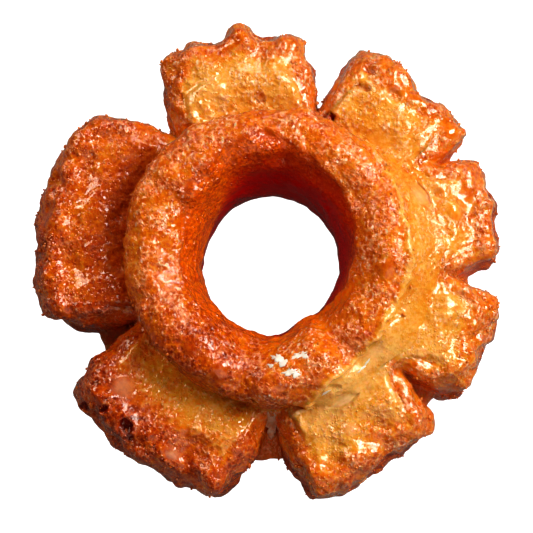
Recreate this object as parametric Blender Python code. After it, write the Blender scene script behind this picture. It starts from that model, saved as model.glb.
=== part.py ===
"""An old-fashioned doughnut: a raised, craggy crown ring round the hole, with seven petals
that cracked open round it, all on one rounder underside.

Metres, +Z up. The origin is on the foot, under the middle of the outline. Bearings are in
degrees, anticlockwise from +X as seen from above, about the middle of the hole.
"""

import itertools
from collections import namedtuple

import bpy
import numpy as np

# Overall sizes
RIM_REACH = 0.0448
CROWN_TOP = 0.0294
FOOT_INNER = 0.0235
FOOT_OUTER = 0.0325
HOLE_MIDDLE = (0.0007, -0.0007)

# The crown ring, as (radius, height) stations: from the foot's inner edge up the wall of the
# hole, over the crown and down its outside to the crease where the petals begin; its waves
# are (waves a turn, start in radians, share of the unevenness)
RING_SECTION = (
    (FOOT_INNER, 0.0),
    (0.0192, 0.0007),
    (0.0156, 0.0034),
    (0.0136, 0.0076),
    (0.0131, 0.0124),
    (0.0135, 0.0170),
    (0.0146, 0.0214),
    (0.0163, 0.0253),
    (0.0192, 0.0282),
    (0.0228, CROWN_TOP),
    (0.0257, 0.0284),
    (0.0275, 0.0258),
    (0.0277, 0.0226),
    (0.0265, 0.0199),
)
CREASE_RADIUS, CREASE_HEIGHT = RING_SECTION[-1]

# The section's last stations on the side where the crown's crumb runs on into the petals, the
# bearing in the middle of that side, and the cosines of the turn from it at which it starts
# and is full
MERGED_END = ((0.0257, 0.0284), (0.0277, 0.0266), (0.0292, 0.0246), (0.0300, 0.0228))
MERGED_SECTION = RING_SECTION[: -len(MERGED_END)] + MERGED_END
MERGED_RADIUS, MERGED_HEIGHT = MERGED_SECTION[-1]
MERGE_BEARING = 345.0
MERGE_COSINES = (0.25, 0.85)

CROWN_SHOULDER = (0.0225, 0.0270)
HOLE_SHOULDER = (0.0160, 0.0215)
CROWN_UNEVENNESS = 0.0005
CROWN_WAVES = ((3.0, 0.6, 1.0), (5.0, 2.1, 0.7))
CROWN_TILT_TURN = 140.0
CROWN_FOOT_SHARE = 0.80
GATHER_SHARE = 0.45

# The crease is tucked in under the crown most at this bearing, and runs out from it opposite
TUCK_BEARING = 185.0
TUCK_DEPTH = 0.0011
RUN_OUT = 0.0013
CREASE_LEAST_RADIUS = 0.0250

# Each petal: its two corners, its reach at start, middle and end, and the height of its top
Petal = namedtuple("Petal", "start end reach_start reach_middle reach_end height")
PETALS = (
    Petal(33.0, 67.6, 0.0450, 0.0451, 0.0444, 0.0214),
    Petal(83.1, 118.2, 0.0435, 0.0450, 0.0436, 0.0208),
    Petal(141.0, 194.0, 0.0438, 0.0448, 0.0435, 0.0206),
    Petal(215.0, 258.5, 0.0444, 0.0450, 0.0456, 0.0204),
    Petal(280.0, 315.0, 0.0460, 0.0447, 0.0446, 0.0210),
    Petal(325.4, 350.0, 0.0443, 0.0442, 0.0436, 0.0216),
    Petal(363.0, 387.0, 0.0444, 0.0438, 0.0444, 0.0218),
)

# The cleft after each petal: its bearing, how near the middle it cuts the top surface, and
# how far out the underside fills it
Cleft = namedtuple("Cleft", "bearing tip floor")
CLEFTS = (
    Cleft(72.8, 0.0304, 0.0316),
    Cleft(127.2, 0.0304, 0.0324),
    Cleft(205.0, 0.0284, 0.0352),
    Cleft(271.5, 0.0284, 0.0372),
    Cleft(320.0, 0.0336, 0.0404),
    Cleft(355.5, 0.0352, 0.0386),
    Cleft(390.5, 0.0372, 0.0408),
)

# Knobs and dents on the petals' edges, the crown's and the hole's: bearing, half width, height
Knob = namedtuple("Knob", "bearing half_width height")
RIM_KNOBS = (
    Knob(15.0, 2.5, 0.0010),
    Knob(46.5, 3.0, -0.0008),
    Knob(91.0, 3.5, -0.0007),
    Knob(97.5, 3.0, 0.0012),
    Knob(103.5, 2.5, -0.0005),
    Knob(109.5, 3.0, 0.0010),
    Knob(147.0, 3.5, 0.0006),
    Knob(163.0, 3.0, 0.0006),
    Knob(222.0, 3.5, -0.0010),
    Knob(252.0, 3.0, -0.0010),
    Knob(303.0, 3.0, -0.0008),
    Knob(338.0, 3.0, -0.0007),
)
CROWN_KNOBS = (
    Knob(5.0, 4.0, 0.0006),
    Knob(76.5, 4.5, 0.0019),
    Knob(92.0, 24.0, 0.0009),
    Knob(122.0, 5.0, 0.0013),
    Knob(158.0, 16.0, 0.0007),
    Knob(270.0, 6.0, 0.0009),
    Knob(313.0, 6.5, -0.0016),
    Knob(341.0, 8.0, -0.0008),
)
HOLE_KNOBS = (
    Knob(0.0, 55.0, 0.0004),
    Knob(85.0, 35.0, 0.0006),
    Knob(160.0, 30.0, -0.0007),
    Knob(270.0, 18.0, 0.0011),
    Knob(299.0, 12.0, -0.0008),
)
CROWN_GROOVES = (
    Knob(309.0, 6.0, -0.0016),
    Knob(295.0, 7.0, 0.0009),
    Knob(327.0, 8.0, 0.0007),
    Knob(259.0, 5.0, -0.0010),
    Knob(150.0, 6.0, -0.0008),
    Knob(200.0, 7.0, -0.0006),
    Knob(35.0, 6.0, -0.0007),
)

# Petals: rounded corners and edges, a swell between crease and edge, and the side wall
CORNER_ROUNDING = 0.0030
FLOOR_ROUNDING = 0.0016
EDGE_INSET = 0.0044
EDGE_DROP = 0.0056
EDGE_FULLNESS = 0.85
LOWER_SHRINK = 0.0010
WALL_BULGE = 0.0008
WALL_FOOT_HEIGHT = 0.0078
PETAL_RISE = 1.10
PETAL_SWELL = 0.0012
RISE_LENGTH = 0.0095
LEAST_LEDGE = 0.0010
LEAST_FLOOR_TURN = 0.8
CLEFT_SWAY = 5.0

# Crags, as (wavelength, height), and the share of them that each region has
CRAGS = ((0.0090, 0.00230), (0.0045, 0.00150))
CRAG_SEED = 7
CRAG_CALM_HEIGHT = 0.0035
HOLE_CALM = 0.65
HOLE_CALM_RADII = (0.0155, 0.0185)
CRUMB_CALM = 0.72
CRUMB_RADII = (0.0262, 0.0290, 0.0330, 0.0385)
CREASE_CALM = 0.95
CREASE_CALM_REACH = 0.0050
CLEFT_CALM_GAP = 0.0045
CLEFT_CALM = 0.85

# Factors that mix a lattice cell's three numbers and the seed into one pseudo-random number,
# and the (shift, factor) steps that spread its bits
CELL_FACTORS = (73856093, 19349663, 83492791)
SEED_FACTOR = 2654435761
SPREAD_STEPS = ((15, 2246822519), (13, 3266489917))
LOW_BITS = np.uint64(0xFFFFFFFF)
DIRECTION_SHIFTS = (2, 12, 22)
DIRECTION_LEVELS = 1023

# How finely the skin is divided
RING_COLUMNS = 103
RING_ROWS = 19
WALL_SPACING = 0.0024
LEAST_WALL_COLUMNS = 3
FLOOR_COLUMNS = 3
PETAL_ROWS = 6
EDGE_ROWS = 4
WALL_ROWS = 3
UNDERSIDE_ROWS = 4

CRUST_COLOUR = (0.62, 0.25, 0.05, 1.0)
CRUST_ROUGHNESS = 0.35


def smooth_least(first, second, rounding):
    """The lesser of two arrays, with the corner where they cross rounded off."""
    blend = np.clip(0.5 + 0.5 * (second - first) / rounding, 0.0, 1.0)
    return second + (first - second) * blend - rounding * blend * (1.0 - blend)


def smooth_most(first, second, rounding):
    """The greater of two arrays, with the corner where they cross rounded off."""
    return -smooth_least(-first, -second, rounding)


def ease(share):
    """0 to 1 with a level start and end."""
    share = np.clip(share, 0.0, 1.0)
    return share * share * (3.0 - 2.0 * share)


def between(values, start, end):
    """Eased share of the way from start to end."""
    return ease((values - start) / (end - start))


def turn_between(bearings, middle):
    """Signed difference of bearings from one bearing, from -180 to 180."""
    return (bearings - middle + 180.0) % 360.0 - 180.0


def knobs_at(bearings, knobs):
    """Sum of the knobs' bell curves."""
    total = np.zeros_like(bearings)
    for knob in knobs:
        total += knob.height * np.exp(-((turn_between(bearings, knob.bearing) / knob.half_width) ** 2))
    return total


def petal_reach(bearings):
    """The outer edge without its clefts: a parabola through each petal's three reaches."""
    reach = np.full_like(bearings, RIM_REACH)
    for petal, before, after in zip(PETALS, CLEFTS[-1:] + CLEFTS[:-1], CLEFTS):
        middle = (petal.start + petal.end) / 2.0
        half = (petal.end - petal.start) / 2.0
        turn = turn_between(bearings, middle)
        inside = (turn >= turn_between(before.bearing, middle)) & (turn < after.bearing - middle)
        share = np.clip(turn / half, -1.0, 1.0)
        slope = (petal.reach_end - petal.reach_start) / 2.0
        bend = (petal.reach_end + petal.reach_start) / 2.0 - petal.reach_middle
        reach[inside] = (petal.reach_middle + slope * share + bend * share**2)[inside]
    return reach + knobs_at(bearings, RIM_KNOBS)


def petal_height(bearings):
    """Height of the petals' tops, straight from one petal's middle to the next."""
    middles = np.array([(petal.start + petal.end) / 2.0 for petal in PETALS])
    heights = np.array([petal.height for petal in PETALS])
    return np.interp(bearings, middles, heights, period=360.0)


def cleft_widths(index):
    """Half widths of a cleft at the rim, in degrees, towards the petals before and after it."""
    cleft = CLEFTS[index]
    before = PETALS[index]
    after = PETALS[(index + 1) % len(PETALS)]
    return abs(turn_between(before.end, cleft.bearing)), abs(turn_between(after.start, cleft.bearing))


def floor_radius(cleft, depth):
    """How far out the cleft is filled: its tip on the top surface, its floor low down."""
    return cleft.tip + (cleft.floor - cleft.tip) * depth


def wall_turn(cleft, width, radius, inset):
    """Degrees from the cleft's bearing at which its inset wall stands at this radius."""
    return np.degrees(inset / RIM_REACH) + width * (radius - cleft.tip) / (RIM_REACH - cleft.tip)


def outline(bearings, inset, depth):
    """Radius of the petals' outline at each bearing.

    inset is how far inside the edge it runs. depth is 0 on the top surface, where the clefts
    cut deepest, and 1 low down, where the underside fills them. A cleft's wall runs straight
    out from its tip to the petal's corner.
    """
    radius = petal_reach(bearings) - inset - LOWER_SHRINK * depth
    for index, cleft in enumerate(CLEFTS):
        turn = turn_between(bearings, cleft.bearing)
        width = np.where(turn < 0.0, *cleft_widths(index))
        share = (np.abs(turn) - np.degrees(inset / RIM_REACH)) / width
        wall = cleft.tip + (RIM_REACH - cleft.tip) * share
        filled = floor_radius(cleft, depth) - inset
        wall = smooth_most(wall, filled, FLOOR_ROUNDING)
        near = np.abs(turn) < 2.0 * width + CLEFT_SWAY
        radius = np.where(near, smooth_least(radius, wall, CORNER_ROUNDING), radius)
    return radius


def outline_bearings(inset, depth):
    """Bearings of one row's columns, which keep to the same petal, wall or floor on each row."""
    walls = [max(round((RIM_REACH - cleft.tip) / WALL_SPACING), LEAST_WALL_COLUMNS) for cleft in CLEFTS]
    petal_columns = 2 * RING_COLUMNS - 2 * sum(walls) - FLOOR_COLUMNS * len(CLEFTS)
    spans = np.cumsum([petal.end - petal.start for petal in PETALS])
    petal_ends = np.round(spans / spans[-1] * petal_columns).astype(int)
    columns = [0]
    bearings = [0.0]
    for index, cleft in enumerate(CLEFTS):
        first = petal_ends[index] + 2 * sum(walls[:index]) + FLOOR_COLUMNS * index
        before, after = cleft_widths(index)
        filled = floor_radius(cleft, depth) - inset
        columns += [first, first + walls[index]]
        columns += [first + walls[index] + FLOOR_COLUMNS, first + 2 * walls[index] + FLOOR_COLUMNS]
        bearings.append(cleft.bearing - wall_turn(cleft, before, RIM_REACH - inset, inset))
        bearings.append(cleft.bearing - max(wall_turn(cleft, before, filled, inset), LEAST_FLOOR_TURN))
        bearings.append(cleft.bearing + max(wall_turn(cleft, after, filled, inset), LEAST_FLOOR_TURN))
        bearings.append(cleft.bearing + wall_turn(cleft, after, RIM_REACH - inset, inset))
    bearings[0] = bearings[-1] - 360.0
    return np.interp(np.arange(2 * RING_COLUMNS), columns, bearings)


def ring_bearings():
    """Evenly spread bearings, the first one in line with the outline's."""
    return outline_bearings(0.0, 0.0)[0] + 360.0 * np.arange(2 * RING_COLUMNS) / (2 * RING_COLUMNS)


def tuck_at(bearings):
    """1 where the crown hangs over the petals most, 0 where it runs into them."""
    return 0.5 + 0.5 * np.cos(np.radians(turn_between(bearings, TUCK_BEARING)))


def crown_waves(bearings):
    """The gentle waves that keep the crown from being a true ring."""
    angle = np.radians(bearings)
    waves = sum(share * np.sin(count * angle + start) for count, start, share in CROWN_WAVES)
    return CROWN_UNEVENNESS * waves


def crown_swell(bearings):
    """How far the crown's outside stands out from its true circle."""
    return crown_waves(bearings) + knobs_at(bearings, CROWN_KNOBS)


def merge_at(bearings):
    """1 where the crown's crumb runs smoothly on into the petals, 0 where it stands over them."""
    return between(np.cos(np.radians(turn_between(bearings, MERGE_BEARING))), *MERGE_COSINES)


def section_end(bearings):
    """(radius, height) where the ring's section ends, before its swell and its tuck."""
    merge = merge_at(bearings)
    radius = CREASE_RADIUS + (MERGED_RADIUS - CREASE_RADIUS) * merge
    return radius, CREASE_HEIGHT + (MERGED_HEIGHT - CREASE_HEIGHT) * merge


def crease(bearings):
    """(radius, height) of the crease between the crown and the petals."""
    tuck = tuck_at(bearings)
    radius, height = section_end(bearings)
    radius = radius + crown_swell(bearings) - TUCK_DEPTH * tuck + RUN_OUT * (1.0 - tuck)
    return smooth_most(radius, CREASE_LEAST_RADIUS, LEAST_LEDGE), height - TUCK_DEPTH * tuck


def ring_point(share, section):
    """(radius, height) at a share of the way along a ring's section, by Catmull-Rom."""
    stations = np.array(section)
    spans = len(stations) - 1
    index = min(int(share * spans), spans - 1)
    local = share * spans - index
    before, start, end, after = (stations[np.clip(index + k, 0, spans)] for k in (-1, 0, 1, 2))
    return 0.5 * (
        2.0 * start
        + (end - before) * local
        + (2.0 * before - 5.0 * start + 4.0 * end - after) * local**2
        + (3.0 * start - before - 3.0 * end + after) * local**3
    )


def row_of(bearings, radii, heights):
    """Points at these bearings, radii and heights."""
    angle = np.radians(bearings)
    return np.stack([radii * np.cos(angle), radii * np.sin(angle), heights + 0.0 * angle], axis=1)


def ring_row(share):
    """One row of points round the ring, at a share of the way along its section.

    Its columns are evenly spread in the hole, and gather towards the clefts at the crease.
    """
    radius, height = ring_point(share, RING_SECTION)
    merged_radius, merged_height = ring_point(share, MERGED_SECTION)
    even = ring_bearings()
    gathered = outline_bearings(EDGE_INSET, 0.0) - even
    bearings = (even + gathered * between(share, GATHER_SHARE, 1.0))[::2]
    crease_radius, crease_height = crease(bearings)
    end_radius, end_height = section_end(bearings)
    merge = merge_at(bearings)
    above = between(height, CREASE_HEIGHT, CROWN_TOP)
    outside = between(radius, *CROWN_SHOULDER) * above
    last = between(share, CROWN_FOOT_SHARE, 1.0)
    swell = crown_swell(bearings)
    lift = crown_waves(bearings + CROWN_TILT_TURN) + knobs_at(bearings, CROWN_GROOVES)
    radii = radius + (merged_radius - radius) * merge + swell * np.maximum(outside, last)
    radii = radii + knobs_at(bearings, HOLE_KNOBS) * (1.0 - between(radius, *HOLE_SHOULDER))
    radii = radii + (crease_radius - end_radius - swell) * last
    heights = height + (merged_height - height) * merge
    heights = heights + lift * above * (1.0 - last) + (crease_height - end_height) * last
    return row_of(bearings, radii, heights)


def edge_start(bearings):
    """(radius, height) where the petals' tops end and their rounded edge starts."""
    crease_radius, crease_height = crease(bearings)
    radius = smooth_most(outline(bearings, EDGE_INSET, 0.0), crease_radius + LEAST_LEDGE, LEAST_LEDGE)
    rise = between(radius - crease_radius, 0.0, RISE_LENGTH)
    return radius, crease_height + (petal_height(bearings) - crease_height) * rise


def petal_row(share):
    """A row across the petals' tops, from the crease at 0 to the start of the edge at 1."""
    bearings = outline_bearings(EDGE_INSET, 0.0)
    crease_radius, crease_height = crease(bearings)
    edge_radius, edge_height = edge_start(bearings)
    full = between(edge_radius - crease_radius, 0.0, RISE_LENGTH)
    swell = PETAL_SWELL * np.sin(np.pi * share) ** 2 * full
    radii = crease_radius + (edge_radius - crease_radius) * share
    heights = crease_height + (edge_height - crease_height) * share**PETAL_RISE + swell
    return row_of(bearings, radii, heights)


def edge_row(share):
    """A row round the petals' rounded edge, a quarter of an oval from top to wall."""
    angle = share * np.pi / 2.0
    inset = EDGE_INSET * (1.0 - np.sin(angle) ** EDGE_FULLNESS)
    bearings = outline_bearings(inset, 0.0)
    least = crease(bearings)[0] + LEAST_LEDGE * (1.0 + share)
    radii = smooth_most(outline(bearings, inset, 0.0), least, LEAST_LEDGE)
    top = edge_start(outline_bearings(EDGE_INSET, 0.0))[1]
    return row_of(bearings, radii, top - EDGE_DROP * (1.0 - np.cos(angle)))


def wall_row(share):
    """A row down the side wall, from the rounded edge at 0 to the underside at 1."""
    bearings = outline_bearings(0.0, ease(share))
    top = edge_start(outline_bearings(EDGE_INSET, 0.0))[1] - EDGE_DROP
    radii = outline(bearings, 0.0, ease(share)) + WALL_BULGE * np.sin(np.pi * share)
    return row_of(bearings, radii, top + (WALL_FOOT_HEIGHT - top) * share)


def underside_row(share):
    """A row under the petals, a quarter of an ellipse from the wall in to the flat foot."""
    angle = share * np.pi / 2.0
    even = ring_bearings()
    bearings = even + (outline_bearings(0.0, 1.0) - even) * ease(1.0 - share)
    wall = outline(bearings, 0.0, 1.0)
    radii = wall + (FOOT_OUTER - wall) * (1.0 - np.cos(angle))
    return row_of(bearings, radii, WALL_FOOT_HEIGHT * (1.0 - np.sin(angle)))


def skin_rows():
    """Every row of the skin, round the whole section, each an array of points."""
    rows = [ring_row(step / RING_ROWS) for step in range(RING_ROWS + 1)]
    for maker, count in (
        (petal_row, PETAL_ROWS),
        (edge_row, EDGE_ROWS),
        (wall_row, WALL_ROWS),
        (underside_row, UNDERSIDE_ROWS),
    ):
        rows += [maker((step + 1) / count) for step in range(count)]
    return rows


def faces_between(first, count, next_first, next_count):
    """Faces from one closed row to the next, which may have as many points, twice or half."""
    faces = []
    for k in range(min(count, next_count)):
        after = (k + 1) % min(count, next_count)
        if count == next_count:
            faces.append((first + k, next_first + k, next_first + after, first + after))
            continue
        two, between_two, four = 2 * k, 2 * k + 1, (2 * k + 2) % max(count, next_count)
        if next_count > count:
            faces.append((first + k, next_first + two, next_first + between_two))
            faces.append((first + k, next_first + between_two, first + after))
            faces.append((first + after, next_first + between_two, next_first + four))
        else:
            faces.append((first + two, next_first + k, first + between_two))
            faces.append((next_first + k, next_first + after, first + between_two))
            faces.append((next_first + after, first + four, first + between_two))
    return faces


def gradients_at(cells, seed):
    """A pseudo-random direction for each lattice cell, from a hash of its three numbers."""
    mixed = cells.astype(np.uint64) * np.array(CELL_FACTORS, np.uint64)
    code = (mixed[:, 0] ^ mixed[:, 1] ^ mixed[:, 2] ^ np.uint64(seed * SEED_FACTOR)) & LOW_BITS
    for shift, factor in SPREAD_STEPS:
        code = ((code ^ (code >> np.uint64(shift))) * np.uint64(factor)) & LOW_BITS
    parts = [(code >> np.uint64(shift)) & np.uint64(DIRECTION_LEVELS) for shift in DIRECTION_SHIFTS]
    return 2.0 * np.stack(parts, axis=1).astype(float) / DIRECTION_LEVELS - 1.0


def lattice_noise(points, wavelength, seed):
    """Smooth noise from -1 to 1, with hills about one wavelength apart."""
    scaled = points / wavelength
    base = np.floor(scaled).astype(np.int64)
    local = scaled - base
    fade = local**3 * (local * (local * 6.0 - 15.0) + 10.0)
    total = np.zeros(len(points))
    for corner in itertools.product((0, 1), repeat=3):
        weight = np.prod(np.where(np.array(corner), fade, 1.0 - fade), axis=1)
        slope = gradients_at(base + np.array(corner), seed)
        total += weight * np.sum(slope * (local - np.array(corner)), axis=1)
    return total


def crag_share(points):
    """How much of the crags each point has: none on the foot, little in hole, crease and clefts."""
    radius = np.hypot(points[:, 0], points[:, 1])
    bearings = np.degrees(np.arctan2(points[:, 1], points[:, 0]))
    off_foot = ease(points[:, 2] / CRAG_CALM_HEIGHT)
    hole = HOLE_CALM * (1.0 - between(radius, *HOLE_CALM_RADII))
    start, full, fade, end = CRUMB_RADII
    crumb = CRUMB_CALM * between(radius, start, full) * (1.0 - between(radius, fade, end))
    crease_radius, crease_height = crease(bearings)
    from_crease = np.hypot(radius - crease_radius, points[:, 2] - crease_height)
    near_crease = CREASE_CALM * (1.0 - between(from_crease, 0.0, CREASE_CALM_REACH))
    share = off_foot * (1.0 - hole) * (1.0 - crumb) * (1.0 - near_crease)
    for cleft in CLEFTS:
        gap = np.radians(np.abs(turn_between(bearings, cleft.bearing))) * radius
        share *= 1.0 - CLEFT_CALM * (1.0 - between(gap, 0.0, CLEFT_CALM_GAP)) * between(radius, start, full)
    return share


def crag_heights(points):
    """How far the crags lift the skin at each point."""
    total = np.zeros(len(points))
    for order, (wavelength, height) in enumerate(CRAGS):
        total += height * lattice_noise(points, wavelength, CRAG_SEED + order)
    return total * crag_share(points)


def crust_material():
    """Golden brown fried crust with a shine of sugar glaze."""
    material = bpy.data.materials.new("fried_crust")
    material.use_nodes = True
    shader = material.node_tree.nodes["Principled BSDF"]
    shader.inputs["Base Color"].default_value = CRUST_COLOUR
    shader.inputs["Roughness"].default_value = CRUST_ROUGHNESS
    shader.inputs["Metallic"].default_value = 0.0
    return material


def make_doughnut():
    """The doughnut as one closed skin, with its crags pushed out along the skin's normals."""
    rows = skin_rows()
    points = np.concatenate(rows)
    starts = np.concatenate([[0], np.cumsum([len(row) for row in rows])])
    faces = []
    for index, row in enumerate(rows):
        following = (index + 1) % len(rows)
        faces += faces_between(int(starts[index]), len(row), int(starts[following]), len(rows[following]))
    mesh = bpy.data.meshes.new("doughnut")
    mesh.from_pydata(points.tolist(), [], faces)
    mesh.update()
    normals = np.empty(points.size)
    mesh.vertices.foreach_get("normal", normals)
    points = points + normals.reshape(-1, 3) * crag_heights(points)[:, None]
    points[:, :2] += HOLE_MIDDLE
    mesh.vertices.foreach_set("co", points.ravel())
    mesh.update()
    mesh.shade_smooth()
    mesh.materials.append(crust_material())
    doughnut = bpy.data.objects.new("doughnut", mesh)
    bpy.context.scene.collection.objects.link(doughnut)
    return doughnut


def main():
    for old in list(bpy.data.objects):
        bpy.data.objects.remove(old)
    make_doughnut()


main()
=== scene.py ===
"""The looks of an old-fashioned doughnut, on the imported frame.

Metres, +Z up, in the frame's own axes. Bearings are in degrees, anticlockwise from +X as seen
from above, about the middle of the hole. A spot on the doughnut is given by its bearing and by
its reach, which is how far it is from the middle of the hole.
"""

from __future__ import annotations

import itertools
import logging
import math

from dataclasses import dataclass, field, fields
from enum import Enum, IntEnum
from typing import Union

import bpy
import numpy as np
from mathutils import Matrix, Vector


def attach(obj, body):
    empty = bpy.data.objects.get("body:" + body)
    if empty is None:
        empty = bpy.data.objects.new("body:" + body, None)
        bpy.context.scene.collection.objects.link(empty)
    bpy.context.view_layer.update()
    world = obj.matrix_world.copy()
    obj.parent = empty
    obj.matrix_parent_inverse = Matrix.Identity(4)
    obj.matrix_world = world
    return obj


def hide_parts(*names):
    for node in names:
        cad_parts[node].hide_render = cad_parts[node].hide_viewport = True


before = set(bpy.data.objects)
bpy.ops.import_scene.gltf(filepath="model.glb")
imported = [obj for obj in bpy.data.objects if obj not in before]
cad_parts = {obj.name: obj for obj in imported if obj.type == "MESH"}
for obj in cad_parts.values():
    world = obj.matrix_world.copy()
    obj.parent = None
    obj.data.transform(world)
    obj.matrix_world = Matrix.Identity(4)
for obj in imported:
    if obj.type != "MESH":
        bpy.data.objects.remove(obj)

Array = np.ndarray
LOG = logging.getLogger("doughnut")
Plug = bpy.types.NodeSocket
Plugs = dict[str, Plug]
Socket = Union[Plug, float, tuple]
# Where a value starts to rise and where it is full.
Span = tuple[float, float]
# Bearings, and the value at each of them.
Stations = tuple[tuple[float, ...], tuple[float, ...]]
# (radius, height) points along a section.
Outline = tuple[tuple[float, float], ...]
Colour = tuple[float, float, float]
# Places along a ramp and their colours.
Stops = tuple[tuple[float, Colour], ...]
# From low, from high, to low, to high.
Remap = tuple[float, float, float, float]
# What is known of each point, by name: its kinds of surface and its place, mostly from 0 to 1.
Zones = dict[str, Array]
CROWN_START = 0.5
CROWN_OUTSIDE = 0.6
BODY = "root"
NODE = "doughnut"


# Shaping functions


def smooth_least(first: Array, second: Array, rounding: float) -> Array:
    """The lesser of two arrays, with the corner where they cross rounded off."""
    blend = np.clip(0.5 + 0.5 * (second - first) / rounding, 0.0, 1.0)
    return second + (first - second) * blend - rounding * blend * (1.0 - blend)


def smooth_most(first: Array, second: Array, rounding: float) -> Array:
    """The greater of two arrays, with the corner where they cross rounded off."""
    return -smooth_least(-first, -second, rounding)


def ease(share: Array) -> Array:
    """0 to 1 with a level start and end: 3 s^2 - 2 s^3."""
    share = np.clip(share, 0.0, 1.0)
    return share * share * (3.0 - 2.0 * share)


def between(values: Array, start: float, end: float) -> Array:
    """Eased share of the way from start to end."""
    return ease((values - start) / (end - start))


def bell(away: Array) -> Array:
    """A bell curve of a distance, 1 at 0: exp(-x^2)."""
    return np.exp(-(away**2))


def turn_between(bearings: Array, middle: float) -> Array:
    """Signed difference of bearings from one bearing, from -180 to 180."""
    return (bearings - middle + 180.0) % 360.0 - 180.0


def arc_from(bearings: Array, middle: float, reach: Array) -> Array:
    """Distance round the doughnut from one bearing, at this reach."""
    return np.radians(np.abs(turn_between(bearings, middle))) * reach


def by_bearing(bearings: Array, stations: Stations) -> Array:
    """A value that runs straight between stations: a row of bearings and a row of values."""
    return np.interp(bearings, *stations, period=360.0)


@dataclass(frozen=True)
class Side:
    """A side of the doughnut, which fades in between two cosines of the turn from its bearing."""

    bearing: float
    start: float
    full: float

    def at(self, bearings: Array) -> Array:
        """0 away from this side to 1 on it, at each bearing."""
        turn = turn_between(bearings, self.bearing)
        return between(np.cos(np.radians(turn)), self.start, self.full)


# Noise


@dataclass(frozen=True)
class CellHash:
    """A pseudo-random direction for each cell of a cubic lattice, from its three whole numbers."""

    cell_factors: tuple[int, int, int] = (73856093, 19349663, 83492791)
    seed_factor: int = 2654435761
    spread_steps: tuple[tuple[int, int], ...] = ((15, 2246822519), (13, 3266489917))
    low_bits: int = 0xFFFFFFFF
    shifts: tuple[int, int, int] = (2, 12, 22)
    levels: int = 1023

    def directions(self, cells: Array, seed: int) -> Array:
        """Three numbers from -1 to 1 for each cell, given by its three whole numbers."""
        mask = np.uint64(self.low_bits)
        mixed = cells.astype(np.uint64) * np.array(self.cell_factors, np.uint64)
        code = (mixed[:, 0] ^ mixed[:, 1] ^ mixed[:, 2] ^ np.uint64(seed * self.seed_factor)) & mask
        for shift, factor in self.spread_steps:
            code = ((code ^ (code >> np.uint64(shift))) * np.uint64(factor)) & mask
        parts = [(code >> np.uint64(shift)) & np.uint64(self.levels) for shift in self.shifts]
        return 2.0 * np.stack(parts, axis=1).astype(float) / self.levels - 1.0


HASH = CellHash()


def hills(points: Array, wavelength: float, seed: int) -> Array:
    """Smooth gradient noise from about -1 to 1, with hills one wavelength apart.

    In each lattice cell the eight corners' slopes are blended by 6 t^5 - 15 t^4 + 10 t^3.
    """
    scaled = points / wavelength
    base = np.floor(scaled).astype(np.int64)
    local = scaled - base
    fade = local**3 * (local * (local * 6.0 - 15.0) + 10.0)
    total = np.zeros(len(points))
    for corner in itertools.product((0, 1), repeat=3):
        weight = np.prod(np.where(np.array(corner), fade, 1.0 - fade), axis=1)
        slope = HASH.directions(base + np.array(corner), seed)
        total += weight * np.sum(slope * (local - np.array(corner)), axis=1)
    return total


def pebbles(points: Array, size: float, seed: int) -> Array:
    """Rounded pebbles of about this size, 1 on top and about 0 in their sharp valleys.

    It is 1 less the squared distance to the nearest seed. Each lattice cell holds one seed, at a
    pseudo-random place in it.
    """
    scaled = points / size
    base = np.floor(scaled).astype(np.int64)
    local = scaled - base
    nearest = np.full(len(points), 4.0)
    for corner in itertools.product((-1, 0, 1), repeat=3):
        step = np.array(corner)
        place = step + 0.5 + 0.5 * HASH.directions(base + step, seed)
        nearest = np.minimum(nearest, np.sum((place - local) ** 2, axis=1))
    return np.clip(1.0 - nearest, 0.0, 1.0)


def wrinkles(points: Array, turn: float, across: float, along: float, seed: int) -> Array:
    """Long soft wrinkles from about -1 to 1, so far across and along, that run towards one turn."""
    angle = math.radians(turn)
    ahead = points[:, 0] * math.cos(angle) + points[:, 1] * math.sin(angle)
    aside = points[:, 1] * math.cos(angle) - points[:, 0] * math.sin(angle)
    return hills(np.column_stack([ahead / along, aside / across, points[:, 2] / across]), 1.0, seed)


@dataclass(frozen=True)
class Hills:
    """One pattern of smooth noise: how far apart its hills are, and its seed."""

    wavelength: float
    seed: int

    def at(self, points: Array) -> Array:
        """The noise from about -1 to 1 at each point."""
        return hills(points, self.wavelength, self.seed)


# The doughnut's form


@dataclass(frozen=True)
class Petal:
    """A petal's two corners, its reach at start, middle and end, and its top's height."""

    start: float
    end: float
    reach_start: float
    reach_middle: float
    reach_end: float
    height: float


@dataclass(frozen=True)
class Cleft:
    """A cleft's bearing, how near the middle its tip cuts the top, and its floor's reach."""

    bearing: float
    tip: float
    floor: float


@dataclass(frozen=True)
class Knob:
    """A knob or, with a height below 0, a dent: its bearing, half width in degrees, and height."""

    bearing: float
    half_width: float
    height: float


def knobs_at(bearings: Array, knobs: tuple[Knob, ...]) -> Array:
    """Sum of the knobs' bell curves."""
    total = np.zeros_like(bearings)
    for knob in knobs:
        total += knob.height * bell(turn_between(bearings, knob.bearing) / knob.half_width)
    return total


@dataclass(frozen=True)
class Fineness:
    """How finely the skin is divided. The outer rows have twice the ring's columns."""

    ring_columns: int = 380
    hole_rows: int = 22
    crown_rows: int = 68
    crown_start: float = 0.40
    wall_spacing: float = 0.00066
    least_wall_columns: int = 9
    floor_columns: int = 9
    petal_rows: int = 34
    edge_rows: int = 17
    wall_rows: int = 14
    underside_rows: int = 13

    def ring_shares(self) -> Array:
        """Shares of the way along the ring's section, closer together on the crown."""
        hole = np.linspace(0.0, self.crown_start, self.hole_rows, endpoint=False)
        return np.concatenate([hole, np.linspace(self.crown_start, 1.0, self.crown_rows)])


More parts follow.
